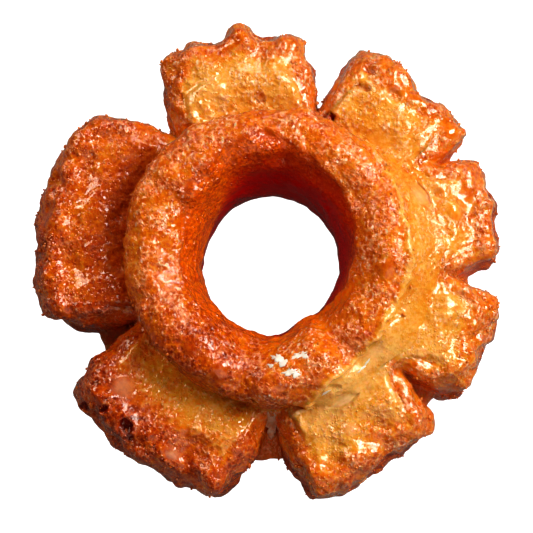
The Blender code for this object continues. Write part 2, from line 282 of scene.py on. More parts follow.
class Zone(IntEnum):
    """The parts of the skin, in the order in which its rows run round the section."""

    RING = 0
    PETAL = 1
    EDGE = 2
    WALL = 3
    UNDERSIDE = 4


@dataclass
class Skin:
    """The doughnut's closed skin as arrays, one entry per point, and its triangles."""

    points: Array
    triangles: Array
    zone: Array
    share: Array
    inset: Array
    bearing: Array
    reach: Array

    def on(self, *zones: Zone) -> Array:
        """Whether each point is in one of these zones."""
        return np.isin(self.zone, zones)

    def ring_beyond(self, share: float) -> Array:
        """Whether each point is on the ring past this share of its section."""
        return self.on(Zone.RING) & (self.share > share)

    def outer_top(self) -> Array:
        """Whether each point is on the crown's outside or on a petal's top."""
        return self.ring_beyond(CROWN_OUTSIDE) | self.on(Zone.PETAL)

    def normals(self) -> Array:
        """Unit normals: at each point, the sum of its triangles' cross products, made unit."""
        corners = self.points[self.triangles]
        cross = np.cross(corners[:, 1] - corners[:, 0], corners[:, 2] - corners[:, 0])
        total = np.zeros_like(self.points)
        for axis in range(3):
            for corner in range(3):
                index = self.triangles[:, corner]
                total[:, axis] += np.bincount(index, cross[:, axis], len(self.points))
        return total / np.maximum(np.linalg.norm(total, axis=1, keepdims=True), 1e-12)

    def soften(self, shares: Array, rounds: int) -> None:
        """Moves points by their shares of the way to their neighbours' middle, round by round."""
        sides = np.concatenate([self.triangles[:, pair] for pair in ((0, 1), (1, 2), (2, 0))])
        sides = sides[shares[sides[:, 0]] > 0.001]
        moved, first = np.unique(sides[:, 0], return_inverse=True)
        counts = np.bincount(first)
        for _ in range(rounds):
            others = self.points[sides[:, 1]].T
            middles = np.stack([np.bincount(first, along) / counts for along in others], axis=1)
            self.points[moved] += shares[moved, None] * (middles - self.points[moved])


@dataclass(frozen=True)
class Row:
    """One closed row of the skin: its zone, its share of the way across that, and its points.

    Each point's inset is how far it is inside the petals' outline.
    """

    zone: Zone
    share: float
    points: Array
    inset: Array


@dataclass(frozen=True)
class DoughnutForm:
    """The doughnut's sizes and the rows of points that make its skin, as the solid has them."""

    rim_reach: float = 0.0448
    crown_top: float = 0.0294
    foot_outer: float = 0.0325
    hole_middle: tuple[float, float] = (0.0007, -0.0007)
    ring_section: Outline = (
        (0.0235, 0.0), (0.0192, 0.0007), (0.0156, 0.0034), (0.0136, 0.0076), (0.0131, 0.0124),
        (0.0135, 0.0170), (0.0146, 0.0214), (0.0163, 0.0253), (0.0192, 0.0282), (0.0228, 0.0294),
        (0.0257, 0.0284), (0.0275, 0.0258), (0.0277, 0.0226), (0.0265, 0.0199),
    )
    merged_end: Outline = (
        (0.0257, 0.0284), (0.0277, 0.0266), (0.0292, 0.0246), (0.0300, 0.0228),
    )
    merge: Side = Side(345.0, 0.25, 0.85)
    crown_shoulder: Span = (0.0225, 0.0270)
    hole_shoulder: Span = (0.0160, 0.0215)
    crown_unevenness: float = 0.0005
    crown_waves: tuple[tuple[float, float, float], ...] = ((3.0, 0.6, 1.0), (5.0, 2.1, 0.7))
    crown_tilt_turn: float = 140.0
    crown_foot_share: float = 0.80
    gather_share: float = 0.45
    tuck_bearing: float = 185.0
    tuck_depth: float = 0.0011
    run_out: float = 0.0013
    crease_least_radius: float = 0.0250
    petals: tuple[Petal, ...] = (
        Petal(33.0, 67.6, 0.0450, 0.0451, 0.0444, 0.0214),
        Petal(83.1, 118.2, 0.0435, 0.0450, 0.0436, 0.0208),
        Petal(141.0, 194.0, 0.0438, 0.0448, 0.0435, 0.0206),
        Petal(215.0, 258.5, 0.0444, 0.0450, 0.0456, 0.0204),
        Petal(280.0, 315.0, 0.0460, 0.0447, 0.0446, 0.0210),
        Petal(325.4, 350.0, 0.0443, 0.0442, 0.0436, 0.0216),
        Petal(363.0, 387.0, 0.0444, 0.0438, 0.0444, 0.0218),
    )
    clefts: tuple[Cleft, ...] = (
        Cleft(72.8, 0.0304, 0.0316), Cleft(127.2, 0.0304, 0.0324), Cleft(205.0, 0.0284, 0.0352),
        Cleft(271.5, 0.0284, 0.0372), Cleft(320.0, 0.0336, 0.0404), Cleft(355.5, 0.0352, 0.0386),
        Cleft(390.5, 0.0372, 0.0408),
    )
    rim_knobs: tuple[Knob, ...] = (
        Knob(15.0, 2.5, 0.0010), Knob(46.5, 3.0, -0.0008), Knob(91.0, 3.5, -0.0007),
        Knob(97.5, 3.0, 0.0012), Knob(103.5, 2.5, -0.0005), Knob(109.5, 3.0, 0.0010),
        Knob(147.0, 3.5, 0.0006), Knob(163.0, 3.0, 0.0006), Knob(222.0, 3.5, -0.0010),
        Knob(252.0, 3.0, -0.0010), Knob(303.0, 3.0, -0.0008), Knob(338.0, 3.0, -0.0007),
    )
    crown_knobs: tuple[Knob, ...] = (
        Knob(5.0, 4.0, 0.0006), Knob(76.5, 4.5, 0.0019), Knob(92.0, 24.0, 0.0009),
        Knob(122.0, 5.0, 0.0013), Knob(158.0, 16.0, 0.0007), Knob(270.0, 6.0, 0.0009),
        Knob(313.0, 6.5, -0.0016), Knob(341.0, 8.0, -0.0008),
    )
    hole_knobs: tuple[Knob, ...] = (
        Knob(0.0, 55.0, 0.0004), Knob(85.0, 35.0, 0.0006), Knob(160.0, 30.0, -0.0007),
        Knob(270.0, 18.0, 0.0011), Knob(299.0, 12.0, -0.0008),
    )
    crown_grooves: tuple[Knob, ...] = (
        Knob(309.0, 6.0, -0.0016), Knob(295.0, 7.0, 0.0009), Knob(327.0, 8.0, 0.0007),
        Knob(259.0, 5.0, -0.0010), Knob(150.0, 6.0, -0.0008), Knob(200.0, 7.0, -0.0006),
        Knob(35.0, 6.0, -0.0007),
    )
    corner_rounding: float = 0.0030
    floor_rounding: float = 0.0016
    edge_inset: float = 0.0044
    edge_drop: float = 0.0056
    edge_fullness: float = 0.85
    lower_shrink: float = 0.0010
    wall_bulge: float = 0.0008
    wall_foot_height: float = 0.0078
    petal_rise: float = 1.10
    petal_swell: float = 0.0012
    rise_length: float = 0.0095
    least_ledge: float = 0.0010
    least_floor_turn: float = 0.8
    cleft_sway: float = 5.0
    crags: tuple[tuple[float, float], ...] = ((0.0090, 0.00230), (0.0045, 0.00150))
    crag_seed: int = 7
    crag_calm_height: float = 0.0035
    hole_calm: float = 0.65
    hole_calm_radii: Span = (0.0155, 0.0185)
    crumb_calm: float = 0.72
    crumb_radii: tuple[float, float, float, float] = (0.0262, 0.0290, 0.0330, 0.0385)
    crease_calm: float = 0.95
    crease_calm_reach: float = 0.0050
    cleft_calm_gap: float = 0.0045
    cleft_calm: float = 0.85
    tip_fade: float = 0.0020
    fineness: Fineness = field(default_factory=Fineness)

    def petal_reach(self, bearings: Array) -> Array:
        """The outer edge without its clefts: a parabola through each petal's three reaches."""
        reach = np.full_like(bearings, self.rim_reach)
        clefts_before = self.clefts[-1:] + self.clefts[:-1]
        for petal, before, after in zip(self.petals, clefts_before, self.clefts):
            middle = (petal.start + petal.end) / 2.0
            half = (petal.end - petal.start) / 2.0
            turn = turn_between(bearings, middle)
            inside = turn >= turn_between(before.bearing, middle)
            inside = inside & (turn < after.bearing - middle)
            share = np.clip(turn / half, -1.0, 1.0)
            slope = (petal.reach_end - petal.reach_start) / 2.0
            bend = (petal.reach_end + petal.reach_start) / 2.0 - petal.reach_middle
            reach = np.where(inside, petal.reach_middle + slope * share + bend * share**2, reach)
        return reach + knobs_at(bearings, self.rim_knobs)

    def petal_height(self, bearings: Array) -> Array:
        """Height of the petals' tops, straight from one petal's middle to the next."""
        middles = tuple((petal.start + petal.end) / 2.0 for petal in self.petals)
        return by_bearing(bearings, (middles, tuple(petal.height for petal in self.petals)))

    def cleft_widths(self, index: int) -> tuple[float, float]:
        """Half widths of a cleft at the rim, towards the petals before and after it."""
        cleft = self.clefts[index]
        before = self.petals[index]
        after = self.petals[(index + 1) % len(self.petals)]
        return (
            abs(turn_between(before.end, cleft.bearing)),
            abs(turn_between(after.start, cleft.bearing)),
        )

    def wall_turn(self, cleft: Cleft, width: float, radius: float, inset: float) -> float:
        """Degrees from the cleft's bearing at which its inset wall stands at this radius."""
        run = (radius - cleft.tip) / (self.rim_reach - cleft.tip)
        return math.degrees(inset / self.rim_reach) + width * run

    def outline(self, bearings: Array, inset: float, depth: float) -> Array:
        """Radius of the petals' outline: the petals' reach, cut by each cleft's straight walls.

        Args:
            bearings: Where to measure it, in degrees.
            inset: How far inside the edge it runs.
            depth: 0 on the top, where the clefts cut deepest, to 1 low down, where they are filled.

        Returns:
            The radius at each bearing.
        """
        radius = self.petal_reach(bearings) - inset - self.lower_shrink * depth
        for index, cleft in enumerate(self.clefts):
            turn = turn_between(bearings, cleft.bearing)
            width = np.where(turn < 0.0, *self.cleft_widths(index))
            share = (np.abs(turn) - math.degrees(inset / self.rim_reach)) / width
            wall = cleft.tip + (self.rim_reach - cleft.tip) * share
            filled = cleft.tip + (cleft.floor - cleft.tip) * depth - inset
            wall = smooth_most(wall, filled, self.floor_rounding)
            near = np.abs(turn) < 2.0 * width + self.cleft_sway
            radius = np.where(near, smooth_least(radius, wall, self.corner_rounding), radius)
        return radius

    def outline_bearings(self, inset: float, depth: float) -> Array:
        """Bearings of one row's columns, which keep to the same petal, wall or floor on each row.

        Args:
            inset: How far inside the edge the row runs.
            depth: 0 on the top to 1 low down, as in outline.

        Returns:
            Twice the ring's number of columns, rising by 360 degrees in all.
        """
        fine = self.fineness
        total = 2 * fine.ring_columns
        walls = [
            max(round((self.rim_reach - cleft.tip) / fine.wall_spacing), fine.least_wall_columns)
            for cleft in self.clefts
        ]
        petal_columns = total - 2 * sum(walls) - fine.floor_columns * len(self.clefts)
        spans = np.cumsum([petal.end - petal.start for petal in self.petals])
        petal_ends = np.round(spans / spans[-1] * petal_columns).astype(int)
        columns = [0]
        bearings = [0.0]
        for index, cleft in enumerate(self.clefts):
            first = petal_ends[index] + 2 * sum(walls[:index]) + fine.floor_columns * index
            steps = (0, walls[index], fine.floor_columns, walls[index])
            columns += [first + step for step in itertools.accumulate(steps)]
            filled = cleft.tip + (cleft.floor - cleft.tip) * depth - inset
            for way, width in zip((-1.0, 1.0), self.cleft_widths(index)):
                rim_turn = self.wall_turn(cleft, width, self.rim_reach - inset, inset)
                floor_turn = max(self.wall_turn(cleft, width, filled, inset), self.least_floor_turn)
                turns = sorted((way * rim_turn, way * floor_turn))
                bearings += [cleft.bearing + turn for turn in turns]
        bearings[0] = bearings[-1] - 360.0
        return np.interp(np.arange(total), columns, bearings)

    def ring_bearings(self) -> Array:
        """Evenly spread bearings, the first one in line with the outline's."""
        total = 2 * self.fineness.ring_columns
        return self.outline_bearings(0.0, 0.0)[0] + 360.0 * np.arange(total) / total

    def tuck_at(self, bearings: Array) -> Array:
        """1 where the crown hangs over the petals most, 0 where it runs into them."""
        return 0.5 + 0.5 * np.cos(np.radians(turn_between(bearings, self.tuck_bearing)))

    def crown_wave(self, bearings: Array) -> Array:
        """The two gentle waves that keep the crown from being a true ring."""
        angle = np.radians(bearings)
        waves = (share * np.sin(count * angle + start) for count, start, share in self.crown_waves)
        return self.crown_unevenness * sum(waves)

    def crown_swell(self, bearings: Array) -> Array:
        """How far the crown's outside stands out from its true circle."""
        return self.crown_wave(bearings) + knobs_at(bearings, self.crown_knobs)

    def section_end(self, bearings: Array) -> tuple[Array, Array]:
        """(radius, height) where the ring's section ends, before its swell and its tuck."""
        merge = self.merge.at(bearings)
        radius, height = self.ring_section[-1]
        merged_radius, merged_height = self.merged_end[-1]
        return radius + (merged_radius - radius) * merge, height + (merged_height - height) * merge

    def crease(self, bearings: Array) -> tuple[Array, Array]:
        """(radius, height) of the crease between the crown and the petals."""
        tuck = self.tuck_at(bearings)
        radius, height = self.section_end(bearings)
        drawn_in = self.tuck_depth * tuck
        radius = radius + self.crown_swell(bearings) - drawn_in + self.run_out * (1.0 - tuck)
        return smooth_most(radius, self.crease_least_radius, self.least_ledge), height - drawn_in

    @staticmethod
    def ring_point(share: float, section: Outline) -> Array:
        """(radius, height) at a share of the way along a ring's section, by Catmull-Rom."""
        stations = np.array(section)
        spans = len(stations) - 1
        index = min(int(share * spans), spans - 1)
        local = share * spans - index
        near = np.clip(index + np.arange(-1, 3), 0, spans)
        before, start, end, after = stations[near]
        return 0.5 * (
            2.0 * start
            + (end - before) * local
            + (2.0 * before - 5.0 * start + 4.0 * end - after) * local**2
            + (3.0 * start - before - 3.0 * end + after) * local**3
        )

    @staticmethod
    def row_of(bearings: Array, radii: Array, heights: Array) -> Array:
        """Points at these bearings, radii and heights."""
        angle = np.radians(bearings)
        x, y = radii * np.cos(angle), radii * np.sin(angle)
        return np.stack([x, y, heights + 0.0 * angle], axis=1)

    def ring_row(self, share: float) -> tuple[Array, Array]:
        """One row of points round the ring, at a share of the way along its section.

        Its columns are evenly spread in the hole, and gather towards the clefts at the crease.

        Args:
            share: 0 at the foot's inner edge to 1 at the crease.

        Returns:
            The row's points, and the rim's reach as the inset of each of them.
        """
        radius, height = self.ring_point(share, self.ring_section)
        merged_section = self.ring_section[: -len(self.merged_end)] + self.merged_end
        merged_radius, merged_height = self.ring_point(share, merged_section)
        even = self.ring_bearings()
        gathered = self.outline_bearings(self.edge_inset, 0.0) - even
        bearings = (even + gathered * between(share, self.gather_share, 1.0))[::2]
        crease_radius, crease_height = self.crease(bearings)
        end_radius, end_height = self.section_end(bearings)
        merge = self.merge.at(bearings)
        above = between(height, self.ring_section[-1][1], self.crown_top)
        outside = between(radius, *self.crown_shoulder) * above
        last = between(share, self.crown_foot_share, 1.0)
        swell = self.crown_swell(bearings)
        lift = self.crown_wave(bearings + self.crown_tilt_turn)
        lift = lift + knobs_at(bearings, self.crown_grooves)
        radii = radius + (merged_radius - radius) * merge + swell * np.maximum(outside, last)
        in_hole = 1.0 - between(radius, *self.hole_shoulder)
        radii = radii + knobs_at(bearings, self.hole_knobs) * in_hole
        radii = radii + (crease_radius - end_radius - swell) * last
        heights = height + (merged_height - height) * merge
        heights = heights + lift * above * (1.0 - last) + (crease_height - end_height) * last
        return self.row_of(bearings, radii, heights), np.full(len(bearings), self.rim_reach)

    def edge_start(self, bearings: Array) -> tuple[Array, Array]:
        """(radius, height) where the petals' tops end and their rounded edge starts."""
        crease_radius, crease_height = self.crease(bearings)
        least = crease_radius + self.least_ledge
        radius = smooth_most(self.outline(bearings, self.edge_inset, 0.0), least, self.least_ledge)
        rise = between(radius - crease_radius, 0.0, self.rise_length)
        return radius, crease_height + (self.petal_height(bearings) - crease_height) * rise

    def petal_row(self, share: float) -> tuple[Array, Array]:
        """A row across the petals' tops, from the crease at 0 to the edge at 1, and its insets."""
        bearings = self.outline_bearings(self.edge_inset, 0.0)
        crease_radius, crease_height = self.crease(bearings)
        edge_radius, edge_height = self.edge_start(bearings)
        full = between(edge_radius - crease_radius, 0.0, self.rise_length)
        swell = self.petal_swell * np.sin(np.pi * share) ** 2 * full
        radii = crease_radius + (edge_radius - crease_radius) * share
        heights = crease_height + (edge_height - crease_height) * share**self.petal_rise + swell
        return self.row_of(bearings, radii, heights), self.edge_inset + edge_radius - radii

    def edge_row(self, share: float) -> tuple[Array, Array]:
        """A row round the petals' edge, a quarter of an oval from top to wall, and its insets."""
        angle = share * np.pi / 2.0
        inset = self.edge_inset * (1.0 - np.sin(angle) ** self.edge_fullness)
        bearings = self.outline_bearings(inset, 0.0)
        least = self.crease(bearings)[0] + self.least_ledge * (1.0 + share)
        radii = smooth_most(self.outline(bearings, inset, 0.0), least, self.least_ledge)
        top = self.edge_start(self.outline_bearings(self.edge_inset, 0.0))[1]
        points = self.row_of(bearings, radii, top - self.edge_drop * (1.0 - np.cos(angle)))
        return points, np.full(len(points), inset)

    def wall_row(self, share: float) -> tuple[Array, Array]:
        """A row down the side wall, from the edge at 0 to the underside at 1, and its insets."""
        depth = float(ease(share))
        bearings = self.outline_bearings(0.0, depth)
        top = self.edge_start(self.outline_bearings(self.edge_inset, 0.0))[1] - self.edge_drop
        radii = self.outline(bearings, 0.0, depth) + self.wall_bulge * np.sin(np.pi * share)
        heights = top + (self.wall_foot_height - top) * share
        return self.row_of(bearings, radii, heights), np.zeros(len(bearings))

    def underside_row(self, share: float) -> tuple[Array, Array]:
        """A row under the petals, a quarter of an ellipse in to the flat foot, and its insets."""
        angle = share * np.pi / 2.0
        even = self.ring_bearings()
        bearings = even + (self.outline_bearings(0.0, 1.0) - even) * ease(1.0 - share)
        wall = self.outline(bearings, 0.0, 1.0)
        radii = wall + (self.foot_outer - wall) * (1.0 - np.cos(angle))
        points = self.row_of(bearings, radii, self.wall_foot_height * (1.0 - np.sin(angle)))
        return points, np.zeros(len(bearings))

    def rows(self) -> list[Row]:
        """Every row of the skin, round the whole section."""
        fine = self.fineness
        made = [Row(Zone.RING, share, *self.ring_row(share)) for share in fine.ring_shares()]
        for zone, count, row_at in (
            (Zone.PETAL, fine.petal_rows, self.petal_row),
            (Zone.EDGE, fine.edge_rows, self.edge_row),
            (Zone.WALL, fine.wall_rows, self.wall_row),
            (Zone.UNDERSIDE, fine.underside_rows, self.underside_row),
        ):
            shares = [(step + 1) / count for step in range(count)]
            made += [Row(zone, share, *row_at(share)) for share in shares]
        return made

    @staticmethod
    def triangles_between(first: int, count: int, next_first: int, next_count: int) -> Array:
        """Triangles from one closed row to the next, which may have as many points, twice or half.

        Args:
            first: Number of the row's first point.
            count: How many points the row has.
            next_first: Number of the next row's first point.
            next_count: How many points the next row has.

        Returns:
            Rows of three point numbers, facing outwards.
        """
        k = np.arange(min(count, next_count))
        after = (k + 1) % len(k)
        here, there = first, next_first
        if count == next_count:
            halves = (
                (here + k, there + k, there + after),
                (here + k, there + after, here + after),
            )
        elif next_count > count:
            halves = (
                (here + k, there + 2 * k, there + 2 * k + 1),
                (here + k, there + 2 * k + 1, here + after),
                (here + after, there + 2 * k + 1, there + 2 * after),
            )
        else:
            halves = (
                (here + 2 * k, there + k, here + 2 * k + 1),
                (there + k, there + after, here + 2 * k + 1),
                (there + after, here + 2 * after, here + 2 * k + 1),
            )
        return np.concatenate([np.stack(half, axis=1) for half in halves])

    def skin(self) -> Skin:
        """The plain skin, without its crags, about the middle of the hole."""
        rows = self.rows()
        counts = [len(row.points) for row in rows]
        starts = np.concatenate([[0], np.cumsum(counts)])
        here = list(zip(starts, counts))
        joined = [self.triangles_between(*a, *b) for a, b in zip(here, here[1:] + here[:1])]
        points = np.concatenate([row.points for row in rows])
        bearing, reach = self.polar(points)
        return Skin(
            points=points,
            triangles=np.concatenate(joined),
            zone=np.repeat([int(row.zone) for row in rows], counts),
            share=np.repeat([row.share for row in rows], counts),
            inset=np.concatenate([row.inset for row in rows]),
            bearing=bearing % 360.0,
            reach=reach,
        )

    @staticmethod
    def polar(points: Array) -> tuple[Array, Array]:
        """(bearing, reach) of points about the middle of the hole, the bearing from -180 to 180."""
        x, y = points[:, 0], points[:, 1]
        return np.degrees(np.arctan2(y, x)), np.hypot(x, y)

    def crag_share(self, points: Array) -> Array:
        """How much of the low crags each point has: none on the foot, little in hole and clefts."""
        bearings, radius = self.polar(points)
        off_foot = ease(points[:, 2] / self.crag_calm_height)
        hole = self.hole_calm * (1.0 - between(radius, *self.hole_calm_radii))
        start, full, fade, end = self.crumb_radii
        crumb = self.crumb_calm * between(radius, start, full) * (1.0 - between(radius, fade, end))
        crease_radius, crease_height = self.crease(bearings)
        from_crease = np.hypot(radius - crease_radius, points[:, 2] - crease_height)
        near_crease = self.crease_calm * (1.0 - between(from_crease, 0.0, self.crease_calm_reach))
        share = off_foot * (1.0 - hole) * (1.0 - crumb) * (1.0 - near_crease)
        for cleft in self.clefts:
            gap = arc_from(bearings, cleft.bearing, radius)
            near = (1.0 - between(gap, 0.0, self.cleft_calm_gap)) * between(radius, start, full)
            share = share * (1.0 - self.cleft_calm * near)
        return share

    def low_crags(self, points: Array) -> Array:
        """How far the solid's own crags lift the skin at each point."""
        total = np.zeros(len(points))
        for order, (wavelength, height) in enumerate(self.crags):
            total += height * hills(points, wavelength, self.crag_seed + order)
        return total * self.crag_share(points)

    def cleft_depth(self, bearings: Array, reach: Array, width: float) -> Array:
        """1 along the middle of each cleft, fading to 0 at this distance from it."""
        deepest = np.zeros_like(bearings)
        for cleft in self.clefts:
            gap = arc_from(bearings, cleft.bearing, reach)
            out = between(reach, cleft.tip - self.tip_fade, cleft.tip + self.tip_fade)
            deepest = np.maximum(deepest, (1.0 - between(gap, 0.0, width)) * out)
        return deepest


# Fine relief and the looks that follow it


@dataclass
class SkinLooks:
    """What the skin's finish reads at each point, each from 0 to 1."""

    browning: Array
    ember: Array
    milk: Array
    gloss: Array
    wet: Array
    hollow: Array
    grain: Array
    frost: Array


@dataclass
class Surface:
    """The relief at each point and the looks that change with it, while they are worked out."""

    top: Array
    lift: Array
    browning: Array
    gloss: Array
    milk: Array
    hollow: Array


@dataclass(frozen=True)
class Noises:
    """The noise at each point: patches of 3 mm, grit of 1 mm, blotches of 8 mm and the rest."""

    patch: Array
    grit: Array
    blotch: Array
    pebbles: Array
    rim_pebbles: Array
    wrinkle: Array
    lumps: Array


@dataclass(frozen=True)
class NoiseSizes:
    """The sizes and seeds of the skin's noises. Pebbles and wrinkles are on warped points."""

    patch: Hills = Hills(0.0026, 61)
    grit: Hills = Hills(0.0013, 62)
    blotch: Hills = Hills(0.0075, 63)
    pebble_size: float = 0.00145
    pebble_seed: int = 51
    rim_pebble_size: float = 0.0023
    rim_pebble_seed: int = 52
    sways: tuple[Hills, ...] = (Hills(0.0030, 41), Hills(0.0030, 42), Hills(0.0030, 43))
    warp: float = 0.0006
    wrinkle_height: float = 0.00014
    wrinkle_spacing: float = 0.0016
    wrinkle_length: float = 0.0050
    east_turn: float = 80.0
    east_seed: int = 64
    west_turn: float = 25.0
    west_seed: int = 65
    west_share: float = 2.6
    lumps: tuple[tuple[Hills, float], ...] = (
        (Hills(0.0032, 67), 0.00075),
        (Hills(0.0017, 68), 0.00040),
    )

    def at(self, points: Array, east: Array) -> Noises:
        """The noises at each point, given how far it is on the east side, from 0 to 1."""
        warped = points + self.warp * np.stack([sway.at(points) for sway in self.sways], axis=1)
        sizes = (self.wrinkle_spacing, self.wrinkle_length)
        across = east * wrinkles(warped, self.east_turn, *sizes, self.east_seed)
        west = self.west_share * (1.0 - east)
        west = west * wrinkles(warped, self.west_turn, *sizes, self.west_seed)
        return Noises(
            patch=self.patch.at(points),
            grit=self.grit.at(points),
            blotch=self.blotch.at(points),
            pebbles=pebbles(warped, self.pebble_size, self.pebble_seed),
            rim_pebbles=pebbles(warped, self.rim_pebble_size, self.rim_pebble_seed),
            wrinkle=self.wrinkle_height * (across + west),
            lumps=sum(height * lump.at(points) for lump, height in self.lumps),
        )


@dataclass(frozen=True)
class Texture:
    """How rough one kind of surface is: its height, and the share of each noise in it."""

    height: float
    pebbles: float
    patch: float
    grit: float
    wrinkle: float

    def lift(self, noise: Noises, pebble: Array) -> Array:
        """Its height times the sum of its noises, pebbles from mid height, and its wrinkles."""
        mixed = self.pebbles * (pebble - 0.5) + self.patch * noise.patch + self.grit * noise.grit
        return self.height * mixed + self.wrinkle * noise.wrinkle


@dataclass(frozen=True)
class GlazeFilm:
    """Thin glaze that has run into the low places of the crust and shines there."""

    level: float = 0.00002
    unevenness: float = 0.00016
    rounding: float = 0.00022
    patch_share: float = 0.5
    cover: Span = (-0.20, 0.50)
    crumb_thinning: float = 0.4
    west_thinning: float = 0.6
    gloss_depths: Span = (0.00005, 0.00025)
    milk_share: float = 0.35
    milk_blotches: Span = (0.0, 0.6)

    def run_in(self, surface: Surface, zones: Zones, noise: Noises) -> None:
        """Fills the surface's low places, and sets its gloss and its milky glaze, partly a painted
        sheen.
        """
        crumb = zones["crumb"]
        level = self.level + self.unevenness * noise.blotch
        filled = smooth_most(surface.lift, level, self.rounding)
        cover = surface.top * between(noise.blotch + self.patch_share * noise.patch, *self.cover)
        cover = cover * (1.0 - self.crumb_thinning * crumb) * (1.0 - zones["shaded"])
        cover = cover * (1.0 - self.west_thinning * (1.0 - zones["east"]) * crumb)
        fill = (filled - surface.lift) * cover
        surface.lift = surface.lift + fill
        surface.gloss = between(fill, *self.gloss_depths)
        surface.milk = self.milk_share * surface.gloss * between(noise.blotch, *self.milk_blotches)


class SpotKind(Enum):
    """What a spot on the doughnut is."""

    PIT = "pit"
    DENT = "dent"
    CRATER = "crater"
    POOL = "pool"
    MILK = "milk"


PIT, DENT, CRATER, POOL, MILK = SpotKind


@dataclass(frozen=True)
class Spot:
    """A small feature: its place, its half sizes outwards and round, in metres, and its depth."""

    kind: SpotKind
    bearing: float
    reach: float
    outwards: float
    around: float
    depth: float = 0.0

    def distance(self, skin: Skin) -> Array:
        """Distance from the spot's middle in its own half sizes, so that 1 is its edge."""
        aside = arc_from(skin.bearing, self.bearing, self.reach) / self.around
        return np.hypot((skin.reach - self.reach) / self.outwards, aside)


@dataclass(frozen=True)
class SpotMarks:
    """How spots mark the surface. Their distances are in each spot's own half sizes."""

    sway: Hills = Hills(0.0016, 71)
    sway_share: float = 0.25
    edge: Span = (0.75, 1.10)
    sunk_calm: float = 0.8
    raised_share: float = 0.25
    raised_at: float = 1.35
    raised_width: float = 0.35
    dent_browning: float = 200.0
    pit_browning: float = 0.25
    pit_hollow: float = 0.5
    crater_gloss_at: float = 1.2
    crater_gloss_width: float = 0.6
    pool_calm: float = 0.85
    pool_dome: float = 0.00025
    milk_share: float = 0.7
    milk_grit: float = 0.3
    milk_edge: Span = (0.2, 1.2)

    def mark(self, surface: Surface, spot: Spot, away: Array, grit: Array) -> None:
        """Marks the surface with one spot.

        Args:
            surface: The surface, which is changed in place.
            spot: The spot.
            away: How far each point is from the spot's middle.
            grit: Noise of about 1 mm.
        """
        top = surface.top
        inside = top * (1.0 - between(away, *self.edge))
        if spot.kind in (PIT, CRATER, DENT):
            surface.lift = surface.lift * (1.0 - self.sunk_calm * inside) - spot.depth * inside
        if spot.kind in (PIT, CRATER):
            raised = bell((away - self.raised_at) / self.raised_width)
            surface.lift = surface.lift + top * self.raised_share * spot.depth * raised
        if spot.kind is DENT:
            surface.browning = surface.browning + self.dent_browning * spot.depth * inside
            surface.gloss = surface.gloss * (1.0 - inside)
        # A pit gets painted shade inside it, besides its own browner tone.
        if spot.kind is PIT:
            surface.hollow = np.maximum(surface.hollow, self.pit_hollow * inside)
            surface.browning = surface.browning + self.pit_browning * inside
        if spot.kind is CRATER:
            wet_edge = bell((away - self.crater_gloss_at) / self.crater_gloss_width)
            surface.gloss = np.maximum(surface.gloss, top * wet_edge)
        if spot.kind in (POOL, MILK):
            dome = self.pool_dome * top * (1.0 - np.clip(away, 0.0, 1.0) ** 2)
            surface.lift = surface.lift * (1.0 - self.pool_calm * inside) + dome
            surface.gloss = np.maximum(surface.gloss, inside)
            surface.hollow = surface.hollow * (1.0 - inside)
        # A milky spot: milky glaze, partly a painted sheen where a lamp would mirror in it.
        if spot.kind is MILK:
            cloud = 1.0 - between(away + self.milk_grit * grit, *self.milk_edge)
            surface.milk = np.maximum(surface.milk, self.milk_share * top * cloud)


@dataclass(frozen=True)
class ToneShift:
    """A change of tone on one side: a rise over a range of values, on top of a fixed change."""

    side: Side
    span: Span
    rise: float
    base: float = 0.0

    def at(self, bearings: Array, values: Array) -> Array:
        """The change at each point."""
        return self.side.at(bearings) * (self.rise * between(values, *self.span) + self.base)


